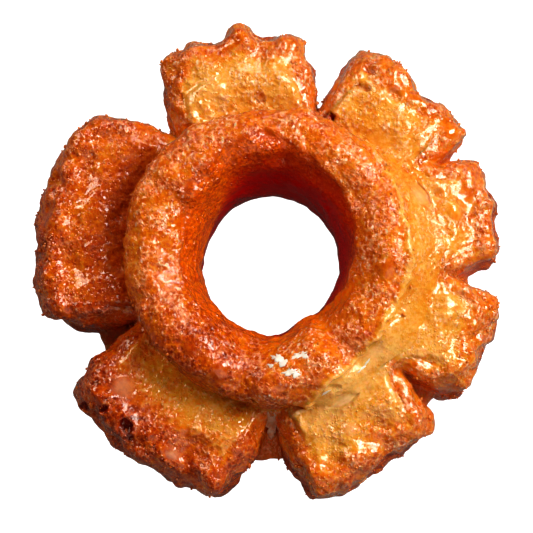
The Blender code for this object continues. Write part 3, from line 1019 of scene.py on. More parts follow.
@dataclass(frozen=True)
class BrowningAndPaintedLight:
    """How brown each place is fried, from 0 for pale crumb to 1 for dark crust, with painted light
    and shade added in some places.
    """

    form: DoughnutForm
    rim_tones: Stations = (
        (0.0, 50.0, 100.0, 150.0, 175.0, 200.0, 225.0, 250.0, 272.0, 300.0, 330.0),
        (0.52, 0.54, 0.56, 0.68, 0.76, 0.78, 0.84, 0.74, 0.60, 0.54, 0.52),
    )
    crown_tones: Stations = (
        (0.0, 45.0, 90.0, 135.0, 175.0, 205.0, 235.0, 260.0, 290.0, 320.0, 345.0),
        (0.54, 0.54, 0.60, 0.57, 0.56, 0.62, 0.78, 0.68, 0.56, 0.57, 0.55),
    )
    crumb_tones: Stations = (
        (3.0, 27.0, 68.0, 82.0, 119.0, 141.0, 194.0, 215.0, 235.0, 258.0, 280.0, 315.0, 350.0),
        (0.28, 0.27, 0.24, 0.25, 0.26, 0.59, 0.60, 0.64, 0.54, 0.42, 0.07, 0.12, 0.23),
    )
    lower_left: ToneShift = ToneShift(Side(228.0, 0.80, 0.95), (0.031, 0.039), 0.42, -0.20)
    south: ToneShift = ToneShift(Side(288.0, 0.88, 0.96), (0.031, 0.038), 0.20)
    crown_west: ToneShift = ToneShift(Side(185.0, 0.3, 0.8), (0.76, 0.88), 0.06)
    key_side: Side = Side(18.0, 0.3, 0.9)
    key_rise: float = 0.08
    outside_paler: float = 0.04
    hole_tone: float = 0.72
    hole_rise: float = 0.13
    hole_heights: Span = (0.0040, 0.0100)
    wall_tone: float = 0.80
    wall_drop: float = 0.0060
    wall_unevenness: float = 0.0015
    under_tone: float = 0.72
    cleft_rim: float = 0.5
    cleft_crumb: float = 0.3
    cleft_paler: float = 0.20
    shaded_rise: float = 0.14
    patches: tuple[float, float, float] = (0.10, 0.10, -0.18)
    blotches: tuple[float, float] = (0.12, 0.06)

    def crumb_tone(self, skin: Skin) -> Array:
        """The crumb's tone at each point."""
        tone = by_bearing(skin.bearing, self.crumb_tones)
        # On the lower-left petal the inner part, in the crown's shadow, is painted paler as painted
        # light; the outer part is browner.
        tone = tone + self.lower_left.at(skin.bearing, skin.reach)
        return tone + self.south.at(skin.bearing, skin.reach)

    def crown_tone(self, skin: Skin, crumb: Array, outside: Array) -> Array:
        """The crown's tone at each point, which is near the crumb's outside the crust's end."""
        tone = by_bearing(skin.bearing, self.crown_tones)
        tone = tone + self.crown_west.at(skin.bearing, skin.share)
        # The crumb outside the crust's end is painted browner on the side facing the key panel:
        # painted shade against that lamp's light.
        open_crumb = crumb - self.outside_paler + self.key_rise * self.key_side.at(skin.bearing)
        return tone + (open_crumb - tone) * outside

    def at(self, skin: Skin, zones: Zones, noise: Noises) -> Array:
        """How brown each place is before its spots, with its painted light and shade."""
        crumb = self.crumb_tone(skin)
        rim = by_bearing(skin.bearing, self.rim_tones)
        height = skin.points[:, 2]
        drop = self.form.petal_height(skin.bearing) - height
        down = between(drop + self.wall_unevenness * noise.patch, 0.0, self.wall_drop)
        hole = self.hole_tone + self.hole_rise * between(height, *self.hole_heights)
        browning = (
            zones["crown"] * self.crown_tone(skin, crumb, zones["outside"])
            + zones["hole"] * hole
            + zones["rim"] * rim
            + zones["crumb"] * crumb
            + zones["wall"] * (rim + (self.wall_tone - rim) * down)
            + zones["under"] * self.under_tone
        )
        cleft = self.form.cleft_depth(skin.bearing, skin.reach, self.form.cleft_calm_gap)
        near = zones["wall"] + self.cleft_rim * zones["rim"] + self.cleft_crumb * zones["crumb"]
        pale = np.maximum(zones["crumb"], zones["outside"] * zones["crown"])
        # The patch noise also raises the surface. On pale crumb the higher places are paler and the
        # lower ones more orange, partly painted light and shade; elsewhere the higher places are
        # browner.
        base, on_rim, on_pale = self.patches
        mottle = (base + on_rim * zones["rim"] + on_pale * pale) * noise.patch
        mottle = mottle + (self.blotches[0] + self.blotches[1] * pale) * noise.blotch
        # Painted light: the clefts are made paler, standing in for light scattered into them.
        mottle = mottle - self.cleft_paler * (cleft * near)
        # Painted shadow: the west petal's band under the crown is browner.
        return browning + mottle + self.shaded_rise * zones["shaded"]


@dataclass(frozen=True)
class FrostAndGlints:
    """How much white glaze has dried on the ridges, partly painted highlights where glints would
    show: most on the crown's inner band.
    """

    stations: Stations = (
        (0.0, 40.0, 90.0, 130.0, 165.0, 205.0, 232.0, 255.0, 285.0, 330.0),
        (0.8, 0.8, 1.0, 0.9, 1.0, 0.9, 0.2, 0.6, 1.0, 0.7),
    )
    crown_share: float = 0.82
    inner_reach: Span = (0.0195, 0.0225)
    west: Side = Side(175.0, 0.2, 0.9)
    west_more: float = 0.30
    west_less: float = 0.25
    above_hole: Span = (0.47, 0.55)
    crown_foot: Span = (0.82, 0.92)
    foot_thinning: float = 0.7
    east: Side = Side(30.0, -0.7, 0.1)
    petal_share: float = 0.25
    east_petal_share: float = 0.40

    def at(self, skin: Skin, zones: Zones) -> Array:
        """The white glaze and painted highlights at each point, given the kinds of surface."""
        inner = 1.0 - between(skin.reach, *self.inner_reach)
        west = self.west_more * inner - self.west_less * (1.0 - inner)
        west = west * self.west.at(skin.bearing)
        along = by_bearing(skin.bearing, self.stations)
        crown = zones["crown"] * along * (self.crown_share + west)
        crown = crown * between(skin.share, *self.above_hole)
        foot = skin.on(Zone.RING) * between(skin.share, *self.crown_foot)
        petal = self.petal_share + self.east_petal_share * self.east.at(skin.bearing)
        return crown * (1.0 - self.foot_thinning * foot) + petal * (zones["rim"] + zones["crumb"])


@dataclass(frozen=True)
class EmberAndGlow:
    """How far each place has deep red-orange: the hole wall's own colour, and a painted glow on the
    clefts' sides and the crown's steep inner side.
    """

    form: DoughnutForm
    hole_heights: Span = (0.002, 0.010)
    steep_shares: Span = (0.46, 0.56)
    lower_right: Side = Side(318.0, 0.5, 0.9)
    lower_right_shares: Span = (0.50, 0.66)
    steep_amount: float = 0.6
    cleft_amount: float = 1.3
    cleft_rim: float = 0.8

    def at(self, skin: Skin, zones: Zones) -> Array:
        """The red-orange, real and painted, at each point, given the kinds of surface."""
        hole = zones["hole"] * between(skin.points[:, 2], *self.hole_heights)
        depth = self.form.cleft_depth(skin.bearing, skin.reach, self.form.cleft_calm_gap)
        # The crown's steep inner side, most on the lower right, gets painted light: bright
        # red-orange against its shade.
        steep = zones["crown"] * (1.0 - between(skin.share, *self.steep_shares))
        lower_right = self.lower_right.at(skin.bearing) * zones["crown"]
        steep = steep + lower_right * (1.0 - between(skin.share, *self.lower_right_shares))
        # The clefts' sides get a painted glow, standing in for light scattered into them.
        clefts = self.cleft_amount * depth * (zones["wall"] + self.cleft_rim * zones["rim"])
        return hole + self.steep_amount * steep + clefts


@dataclass(frozen=True)
class HolePaintedShade:
    """Painted shade on the hole's wall, where the lamps leave it in shadow: darkest at its neck,
    less so on the west side, which the key panel lights, and none below.
    """

    west: Side = Side(195.0, -0.2, 1.0)
    back: Side = Side(65.0, 0.2, 0.8)
    sway: Hills = Hills(0.0030, 66)
    sway_height: float = 0.0006
    low: Span = (0.0040, 0.0100)
    neck: tuple[float, float, float] = (0.0170, -0.0050, 0.0030)
    top: tuple[float, float, float] = (0.0262, -0.0112, 0.0060)

    def at(self, skin: Skin, hole: Array) -> Array:
        """The painted shade at each point, given how much of it is the hole's wall."""
        west, back = self.west.at(skin.bearing), self.back.at(skin.bearing)
        height = skin.points[:, 2] + self.sway_height * self.sway.at(skin.points)
        neck, top = (
            level + on_west * west + at_back * back
            for level, on_west, at_back in (self.neck, self.top)
        )
        return hole * between(height, *self.low) * (1.0 - between(height, neck, top))


@dataclass(frozen=True)
class CrustEnd:
    """The crown crust's ragged end on the east side: a raised lip over a narrow groove."""

    reaches: Stations = (
        (0.0, 20.0, 40.0, 60.0, 75.0, 180.0, 272.0, 289.0, 302.0, 315.0, 328.0, 340.0, 350.0),
        (0.0262, 0.0262, 0.0276, 0.0298, 0.033, 0.04, 0.032)
        + (0.0277, 0.0258, 0.0253, 0.0253, 0.026, 0.0266),
    )
    east: Side = Side(345.0, 0.2, 0.6)
    patch_sway: float = 0.0010
    grit_sway: float = 0.0006
    softness: float = 0.0004
    lip_inside: float = 0.0003
    groove_outside: float = 0.0008
    width: float = 0.0005
    groove_share: float = 0.3

    def at(self, skin: Skin, noise: Noises) -> tuple[Array, Array]:
        """Where the crust has given way to pale crumb, over a low step.

        Returns:
            1 outside the crust's end, and the end: 1 along its lip, below 0 in its groove.
        """
        end = by_bearing(skin.bearing, self.reaches)
        end = end + self.patch_sway * noise.patch + self.grit_sway * noise.grit
        upper = skin.outer_top()
        outside = between(skin.reach, end - self.softness, end + self.softness) * upper
        lip = bell((skin.reach - end + self.lip_inside) / self.width)
        groove = bell((skin.reach - end - self.groove_outside) / self.width)
        step = lip - self.groove_share * groove
        return outside, self.east.at(skin.bearing) * upper * step


@dataclass(frozen=True)
class CrustRelief:
    """Pebbly crust, fine crumb, pits and pools of glaze, and how brown and wet each place is."""

    form: DoughnutForm
    sizes: NoiseSizes = NoiseSizes()
    glaze: GlazeFilm = GlazeFilm()
    marks: SpotMarks = SpotMarks()
    frost: FrostAndGlints = FrostAndGlints()
    hole_shade: HolePaintedShade = HolePaintedShade()
    crust_end: CrustEnd = CrustEnd()
    crust: Texture = Texture(0.00048, -0.8, 0.8, 0.35, 0.8)
    rim: Texture = Texture(0.00060, 0.8, 0.7, 0.35, 0.5)
    crumb: Texture = Texture(0.00042, 0.0, 0.9, 0.4, 1.2)
    hole: Texture = Texture(0.00022, 0.0, 1.0, 0.5, 0.0)
    lip_stations: Stations = (
        (3.0, 50.0, 93.0, 140.0, 177.0, 230.0, 271.0, 295.0, 318.0, 338.0),
        (0.535, 0.590, 0.690, 0.625, 0.575, 0.530, 0.465, 0.430, 0.430, 0.480),
    )
    lip_softness: float = 0.020
    lip_width: float = 0.03
    lip_height: float = 0.00060
    wobble: Hills = Hills(0.0042, 31)
    lip_wobble: float = 0.030
    rim_width: float = 0.0030
    rim_width_wobble: float = 0.5
    rim_fade: float = 0.0046
    rim_fade_wobble: float = 0.8
    crown_calm: float = 0.50
    outside_calm: float = 0.6
    under_share: float = 0.4
    ragged: Side = Side(230.0, 0.3, 0.8)
    ragged_more: float = 2.0
    edge_height: float = 0.00075
    edge_paler: float = 0.40
    groove_browning: float = 0.2
    fillet_height: float = 0.00060
    fillet_width: float = 0.0022
    fillet_rounds: int = 60
    fillet_browning: float = 0.08
    east: Side = Side(0.0, -0.5, 0.1)
    west_calm: float = 0.15
    west_rim_share: float = 0.6
    dark_band: Side = Side(172.0, 0.70, 0.95)
    dark_band_reach: Span = (0.0325, 0.0375)
    dark_band_calm: float = 0.5
    creamy_side: Side = Side(318.0, 0.70, 0.90)
    creamy_start: Span = (0.0245, 0.0265)
    creamy_end: Span = (0.0315, 0.0360)
    creamy_calm: float = 0.55
    hollow_share: float = 0.16
    hollow_pebbles: Span = (0.05, 0.45)
    narrow_gap: float = 0.0022
    narrow_calm: float = 0.6
    rim_moist: tuple[float, float] = (0.3, 0.7)
    wet_base: float = 0.25
    wet_moist: float = 0.65
    wet_gloss: float = 0.5
    grain_shares: tuple[tuple[str, float], ...] = (
        ("crown", 1.0),
        ("rim", 1.0),
        ("crumb", 1.0),
        ("wall", 0.9),
        ("under", 0.6),
        ("hole", 1.0),
    )
    glossy_grain: float = 0.85
    deep_grain: float = 0.7
    glossy_frost: float = 0.8
    spots: tuple[Spot, ...] = (
        Spot(DENT, 62.0, 0.0374, 0.0008, 0.0016, 0.0011),
        Spot(DENT, 63.0, 0.0410, 0.0008, 0.0013, 0.0007),
        Spot(CRATER, 53.0, 0.0392, 0.0013, 0.0014, 0.0006),
        Spot(DENT, 94.1, 0.0309, 0.0011, 0.0012, 0.0006),
        Spot(PIT, 230.2, 0.0417, 0.0013, 0.0014, 0.0016),
        Spot(PIT, 218.8, 0.0442, 0.0007, 0.0008, 0.0009),
        Spot(PIT, 223.4, 0.0416, 0.0006, 0.0007, 0.0008),
        Spot(PIT, 232.8, 0.0428, 0.0006, 0.0008, 0.0008),
        Spot(PIT, 67.5, 0.0294, 0.0012, 0.0013, 0.0014),
        Spot(DENT, 296.5, 0.0280, 0.0005, 0.0009, 0.0006),
        Spot(CRATER, 21.1, 0.0339, 0.0010, 0.0010, 0.0005),
        Spot(POOL, 17.4, 0.0393, 0.0020, 0.0026),
        Spot(POOL, 36.5, 0.0423, 0.0018, 0.0026),
        Spot(POOL, 13.6, 0.0362, 0.0020, 0.0016),
        Spot(POOL, 47.4, 0.0307, 0.0022, 0.0026),
        Spot(MILK, 22.5, 0.0305, 0.0018, 0.0022),
        Spot(MILK, 222.1, 0.0368, 0.0024, 0.0027),
        Spot(MILK, 244.4, 0.0412, 0.0015, 0.0018),
        Spot(MILK, 295.6, 0.0358, 0.0015, 0.0017),
        Spot(MILK, 297.6, 0.0303, 0.0011, 0.0030),
        Spot(POOL, 231.9, 0.0234, 0.0014, 0.0016),
        Spot(POOL, 248.1, 0.0242, 0.0025, 0.0018),
        Spot(POOL, 141.0, 0.0192, 0.0015, 0.0015),
        Spot(POOL, 352.5, 0.0220, 0.0016, 0.0020),
    )

    def zones(self, skin: Skin) -> Zones:
        """How far each point belongs to each kind of surface, from 0 to 1."""
        wobble = self.wobble.at(skin.points)
        lip = by_bearing(skin.bearing, self.lip_stations) + self.lip_wobble * wobble
        ring = skin.on(Zone.RING)
        crown = ring * between(skin.share, lip - self.lip_softness, lip + self.lip_softness)
        petal = skin.on(Zone.PETAL, Zone.EDGE)
        past = skin.inset - self.rim_width * (1.0 + self.rim_width_wobble * wobble)
        fade = self.rim_fade * (1.0 + self.rim_fade_wobble * wobble)
        rim = petal * (1.0 - between(past, 0.0, fade))
        return {
            "crown": crown,
            "hole": ring * (1.0 - crown),
            "rim": rim,
            "crumb": petal * (1.0 - rim),
            "wall": skin.on(Zone.WALL) * 1.0,
            "under": skin.on(Zone.UNDERSIDE) * 1.0,
            "lip": ring * bell((skin.share - lip) / self.lip_width),
        }

    def lift(self, skin: Skin, zones: Zones, noise: Noises) -> Array:
        """How far the crust's own relief lifts each point, before its glaze and its spots."""
        crust = self.crust.lift(noise, noise.pebbles)
        rim = self.rim.lift(noise, noise.rim_pebbles) + noise.lumps
        ragged = 1.0 + self.ragged_more * self.ragged.at(skin.bearing)
        on_crown = crust * (1.0 - self.outside_calm * zones["outside"])
        return (
            zones["crown"] * (on_crown + self.lip_height * zones["lip"])
            + self.edge_height * zones["edge"]
            + self.fillet_height * zones["fillet"]
            + (zones["rim"] + zones["wall"]) * rim
            + zones["crumb"] * self.crumb.lift(noise, noise.pebbles)
            + zones["hole"] * (self.hole.lift(noise, noise.pebbles) * ragged)
            + zones["under"] * self.under_share * crust
        )

    def apply(self, skin: Skin) -> SkinLooks:
        """Gives the skin its relief, and works out its looks.

        Args:
            skin: The skin, which is changed in place.

        Returns:
            The looks at each point.
        """
        zones = self.zones(skin)
        low = self.form.low_crags(skin.points) * (1.0 - self.crown_calm * zones["crown"])
        skin.points = skin.points + skin.normals() * low[:, None]
        zones["fillet"] = self.fillet(skin)
        skin.soften(zones["fillet"], self.fillet_rounds)
        zones["east"] = self.east.at(skin.bearing)
        zones["shaded"] = self.shaded(skin)
        noise = self.sizes.at(skin.points, zones["east"])
        zones["outside"], zones["edge"] = self.crust_end.at(skin, noise)
        smooth = self.west_calm * (1.0 - zones["east"])
        smooth = smooth * (zones["crumb"] + self.west_rim_share * zones["rim"])
        calm = self.dark_band_calm * zones["shaded"]
        calm = np.maximum(calm, self.creamy_calm * self.creamy(skin))
        zones["calm"] = np.maximum(calm, smooth)
        lift = self.lift(skin, zones, noise) * (1.0 - smooth)
        browning = BrowningAndPaintedLight(self.form).at(skin, zones, noise)
        # The crust's lip is paler; the groove below it is darker, a painted shade.
        browning = browning - self.edge_paler * zones["edge"].clip(-self.groove_browning, 1.0)
        surface = Surface(
            top=self.on_top(skin) * 1.0,
            lift=lift,
            # Painted shade: the crease where the crown runs into the petals is browner.
            browning=browning + self.fillet_browning * zones["fillet"],
            gloss=np.zeros_like(lift),
            milk=np.zeros_like(lift),
            hollow=np.zeros_like(lift),
        )
        self.glaze.run_in(surface, zones, noise)
        # Painted shade in the valleys between the pebbles of the rims and walls.
        hollow = self.hollow_share * (zones["rim"] + zones["wall"]).clip(0.0, 1.0)
        hollow = hollow * (1.0 - between(noise.rim_pebbles, *self.hollow_pebbles))
        surface.hollow = hollow * (1.0 - surface.gloss)
        sway = self.marks.sway_share * self.marks.sway.at(skin.points)
        for spot in self.spots:
            self.marks.mark(surface, spot, spot.distance(skin) + sway, noise.grit)
        narrow = self.form.cleft_depth(skin.bearing, skin.reach, self.narrow_gap)
        lift = surface.lift * (1.0 - self.narrow_calm * narrow * (1.0 - zones["crown"]))
        lift = lift * ease(skin.points[:, 2] / self.form.crag_calm_height)
        skin.points = skin.points + skin.normals() * lift[:, None]
        return self.looks(skin, zones, surface)

    def looks(self, skin: Skin, zones: Zones, surface: Surface) -> SkinLooks:
        """The looks at each point of the finished skin, each kept from 0 to 1."""
        gloss = surface.gloss
        # deep is the painted shade on the hole's wall; it joins the painted shade of pits and
        # pebble valleys.
        deep = self.hole_shade.at(skin, zones["hole"])
        rim_moist = self.rim_moist[0] + self.rim_moist[1] * zones["east"]
        moist = zones["crumb"] + zones["rim"] * rim_moist
        wet = self.wet_base + self.wet_moist * moist + self.wet_gloss * gloss
        grain = sum(share * zones[name] for name, share in self.grain_shares)
        grain = grain * (1.0 - self.glossy_grain * gloss) * (1.0 - zones["calm"])
        grain = grain * (1.0 - self.deep_grain * deep)
        frost = self.frost.at(skin, zones) * (1.0 - self.glossy_frost * gloss)
        values = {
            "browning": surface.browning,
            "ember": EmberAndGlow(self.form).at(skin, zones),
            "milk": surface.milk,
            "gloss": gloss,
            "wet": wet * (1.0 - zones["hole"]),
            "hollow": surface.hollow + deep,
            "grain": grain,
            "frost": frost * (1.0 - zones["shaded"]) * (1.0 - zones["calm"]),
        }
        return SkinLooks(**{name: np.clip(value, 0.0, 1.0) for name, value in values.items()})

    def on_top(self, skin: Skin) -> Array:
        """Whether each point is on the crown or on a petal's top."""
        return skin.ring_beyond(CROWN_START) | skin.on(Zone.PETAL, Zone.EDGE)

    def fillet(self, skin: Skin) -> Array:
        """How near each place is to the crease where the crown runs on into the petals."""
        radius, height = self.form.crease(skin.bearing)
        away = np.hypot(skin.reach - radius, skin.points[:, 2] - height) / self.fillet_width
        return self.form.merge.at(skin.bearing) * bell(away) * skin.outer_top()

    def shaded(self, skin: Skin) -> Array:
        """How far each place is in the band of the west petal under the crown where the crown's
        shadow falls: a painted shadow, kept smooth.
        """
        near = 1.0 - between(skin.reach, *self.dark_band_reach)
        return self.dark_band.at(skin.bearing) * near * skin.on(Zone.PETAL)

    def creamy(self, skin: Skin) -> Array:
        """How far each place is in the smooth pale crumb at the crown's foot, lower right."""
        start = between(skin.reach, *self.creamy_start)
        inside = start * (1.0 - between(skin.reach, *self.creamy_end))
        return self.creamy_side.at(skin.bearing) * inside * skin.outer_top()


# Finishes


class Wiring:
    """Adds nodes to one node tree and joins their sockets."""

    def __init__(self, tree: bpy.types.NodeTree) -> None:
        """Keeps the tree that the nodes go into."""
        self.tree = tree

    def node(self, kind: str, **settings: object) -> bpy.types.Node:
        """A new node of this kind with these settings."""
        made = self.tree.nodes.new(kind)
        for name, value in settings.items():
            setattr(made, name, value)
        return made

    def feed(self, target: Plug, source: Socket) -> None:
        """Joins a socket to another, or sets it to a plain value. A colour of three is opaque."""
        if isinstance(source, Plug):
            self.tree.links.new(source, target)
        elif target.type == "RGBA":
            target.default_value = (*source[:3], 1.0)
        else:
            target.default_value = source

    def feed_all(self, node: bpy.types.Node, sources: dict[str, Socket]) -> None:
        """Feeds a node's inputs by their names."""
        for name, source in sources.items():
            self.feed(node.inputs[name], source)

    def math(self, operation: str, *values: Socket, clamp: bool = False) -> Plug:
        """The result of one Math node."""
        made = self.node("ShaderNodeMath", operation=operation, use_clamp=clamp)
        for target, value in zip(made.inputs, values):
            self.feed(target, value)
        return made.outputs[0]

    def times(self, first: Socket, second: Socket) -> Plug:
        """The product of two values."""
        return self.math("MULTIPLY", first, second)

    def plus(self, first: Socket, second: Socket) -> Plug:
        """The sum of two values."""
        return self.math("ADD", first, second)

    def mix(self, share: Socket, first: Socket, second: Socket) -> Plug:
        """The result of one colour Mix node."""
        made = self.node("ShaderNodeMix", data_type="RGBA", blend_type="MIX")
        self.feed_all(made, {"Factor": share, "A": first, "B": second})
        return made.outputs["Result"]

    def remap(self, value: Socket, span: Remap) -> Plug:
        """A value carried straight from one range to another, and kept inside it."""
        made = self.node("ShaderNodeMapRange", clamp=True)
        names = ("From Min", "From Max", "To Min", "To Max")
        self.feed_all(made, {"Value": value, **dict(zip(names, span))})
        return made.outputs["Result"]

    def ramp(self, share: Socket, stops: Stops) -> Plug:
        """A colour ramp's colour, from (place, colour) stops."""
        made = self.node("ShaderNodeValToRGB")
        elements = made.color_ramp.elements
        while len(elements) < len(stops):
            elements.new(1.0)
        for element, (place, colour) in zip(elements, stops):
            element.position = place
            element.color = (*colour, 1.0)
        self.feed(made.inputs["Fac"], share)
        return made.outputs["Color"]

    def attribute(self, name: str) -> Plug:
        """One of the piece's own values at each point."""
        return self.node("ShaderNodeAttribute", attribute_name=name).outputs["Fac"]

    def place(self) -> Plug:
        """The place in the piece's own axes, in metres."""
        return self.node("ShaderNodeTexCoord").outputs["Object"]

    def cells(self, where: Socket, scale: float) -> tuple[Plug, Plug]:
        """A Voronoi Texture's distance to the nearest cell's middle, and that cell's own tone."""
        made = self.node("ShaderNodeTexVoronoi", feature="F1")
        self.feed_all(made, {"Vector": where, "Scale": scale})
        split = self.node("ShaderNodeSeparateColor")
        self.feed_all(split, {"Color": made.outputs["Color"]})
        return made.outputs["Distance"], split.outputs["Red"]

    def noise(self, where: Socket, size: NoiseLook) -> Plug:
        """A Noise Texture's value from 0 to 1."""
        made = self.node("ShaderNodeTexNoise")
        settings = {"Scale": size.scale, "Detail": size.detail, "Roughness": size.roughness}
        self.feed_all(made, {"Vector": where, **settings})
        return made.outputs["Fac"]


@dataclass(frozen=True)
class NoiseLook:
    """A Noise Texture's hills a metre, its finer layers, and how strong those are."""

    scale: float
    detail: float
    roughness: float = 0.5


@dataclass(frozen=True)
class Depth:
    """How far light goes into a finish, how rough its wet coat is, and how deep its bump is."""

    subsurface: float
    radius: Colour
    scale: float
    coat_roughness: float
    bump_strength: float
    bump_distance: float

    def feed(self, wires: Wiring, shader: bpy.types.Node, height: Socket) -> None:
        """Sets the shader's sockets, and tilts its normal by this height from 0 to 1."""
        settings = {
            "Coat Roughness": self.coat_roughness,
            "Subsurface Weight": self.subsurface,
            "Subsurface Radius": self.radius,
            "Subsurface Scale": self.scale,
        }
        wires.feed_all(shader, settings)
        bump = wires.node("ShaderNodeBump")
        sizes = {"Strength": self.bump_strength, "Distance": self.bump_distance}
        wires.feed_all(bump, {**sizes, "Height": height})
        wires.feed_all(shader, {"Normal": bump.outputs["Normal"]})


@dataclass(frozen=True)
class CrumbGrain:
    """A node group with fried cake's fine grain, which the crust and the loose crumbs share."""

    name: str = "crumb_grain"
    grain: NoiseLook = NoiseLook(1000.0, 2.0)
    grain_share: float = 0.50
    bowl_scale: float = 1150.0
    bowl_share: float = 0.46
    ridge_edge: Remap = (0.40, 0.62, 0.0, 1.0)
    bead_scale: float = 2000.0
    bead_share: float = 0.32
    bead_reach: float = 0.45
    bead_tones: Span = (0.35, 0.65)
    fleck_scale: float = 1250.0
    fleck_turn: float = 0.35
    fleck_draw: float = 0.55
    fleck_sway: float = 0.0005
    fleck_edge: Remap = (0.20, 0.36, 1.0, 0.0)
    fleck_tones: Remap = (0.57, 0.72, 0.0, 1.0)
    speckle: NoiseLook = NoiseLook(1300.0, 3.0, 0.65)
    blotch: NoiseLook = NoiseLook(300.0, 2.0)

    def heights(self, wires: Wiring, where: Socket) -> tuple[Plug, Plug]:
        """The grain's height, and how far each place is on a ridge between its bowls."""
        grain = wires.times(wires.noise(where, self.grain), self.grain_share)
        away, _ = wires.cells(where, self.bowl_scale)
        bowls = wires.times(wires.times(away, away), self.bowl_share)
        ridge = wires.remap(away, self.ridge_edge)
        away, tone = wires.cells(where, self.bead_scale)
        squared = wires.math("POWER", wires.math("DIVIDE", away, self.bead_reach), 2.0)
        dome = wires.math("SUBTRACT", 1.0, squared, clamp=True)
        beads = wires.times(dome, wires.remap(tone, (*self.bead_tones, 0.0, self.bead_share)))
        return wires.plus(wires.plus(grain, bowls), beads), ridge

    def flecks(self, wires: Wiring, where: Socket) -> Plug:
        """Small drawn-out flecks: spots in bent cells, of which only some have one."""
        drawn = wires.node("ShaderNodeMapping", vector_type="POINT")
        turn, scale = (0.0, 0.0, self.fleck_turn), (1.0, self.fleck_draw, 1.0)
        wires.feed_all(drawn, {"Vector": where, "Rotation": turn, "Scale": scale})
        bent = wires.node("ShaderNodeVectorMath", operation="ADD")
        wires.feed(bent.inputs[0], drawn.outputs["Vector"])
        sway = wires.node("ShaderNodeTexNoise")
        wires.feed_all(sway, {"Vector": where, "Scale": self.speckle.scale})
        pull = wires.node("ShaderNodeVectorMath", operation="SCALE")
        wires.feed(pull.inputs[0], sway.outputs["Color"])
        wires.feed_all(pull, {"Scale": self.fleck_sway})
        wires.feed(bent.inputs[1], pull.outputs["Vector"])
        away, tone = wires.cells(bent.outputs["Vector"], self.fleck_scale)
        spot = wires.remap(away, self.fleck_edge)
        return wires.times(spot, wires.remap(tone, self.fleck_tones))

    def group(self) -> bpy.types.NodeTree:
        """The group, built on its first call: a Vector in, and the five sockets named below out."""
        made = bpy.data.node_groups.get(self.name)
        if made:
            return made
        made = bpy.data.node_groups.new(self.name, "ShaderNodeTree")
        made.interface.new_socket("Vector", in_out="INPUT", socket_type="NodeSocketVector")
        for name in ("Height", "Ridge", "Fleck", "Speckle", "Blotch"):
            made.interface.new_socket(name, in_out="OUTPUT", socket_type="NodeSocketFloat")
        wires = Wiring(made)
        where = wires.node("NodeGroupInput").outputs["Vector"]
        leave = wires.node("NodeGroupOutput")
        height, ridge = self.heights(wires, where)
        wires.feed_all(leave, {"Height": height, "Ridge": ridge})
        wires.feed_all(leave, {"Fleck": self.flecks(wires, where)})
        wires.feed_all(leave, {"Speckle": wires.noise(where, self.speckle)})
        wires.feed_all(leave, {"Blotch": wires.noise(where, self.blotch)})
        return made

    def outputs(self, wires: Wiring) -> Plugs:
        """The group's outputs by name, in a material that reads it in its piece's own axes."""
        where = wires.place()
        grain = wires.node("ShaderNodeGroup", node_tree=self.group())
        wires.feed_all(grain, {"Vector": where})
        return {socket.name: socket for socket in grain.outputs}


def principled(name: str) -> tuple[bpy.types.Material, Wiring, bpy.types.Node]:
    """A new material, the wiring of its node tree, and its Principled shader."""
    material = bpy.data.materials.new(name)
    material.use_nodes = True
    wires = Wiring(material.node_tree)
    return material, wires, material.node_tree.nodes["Principled BSDF"]


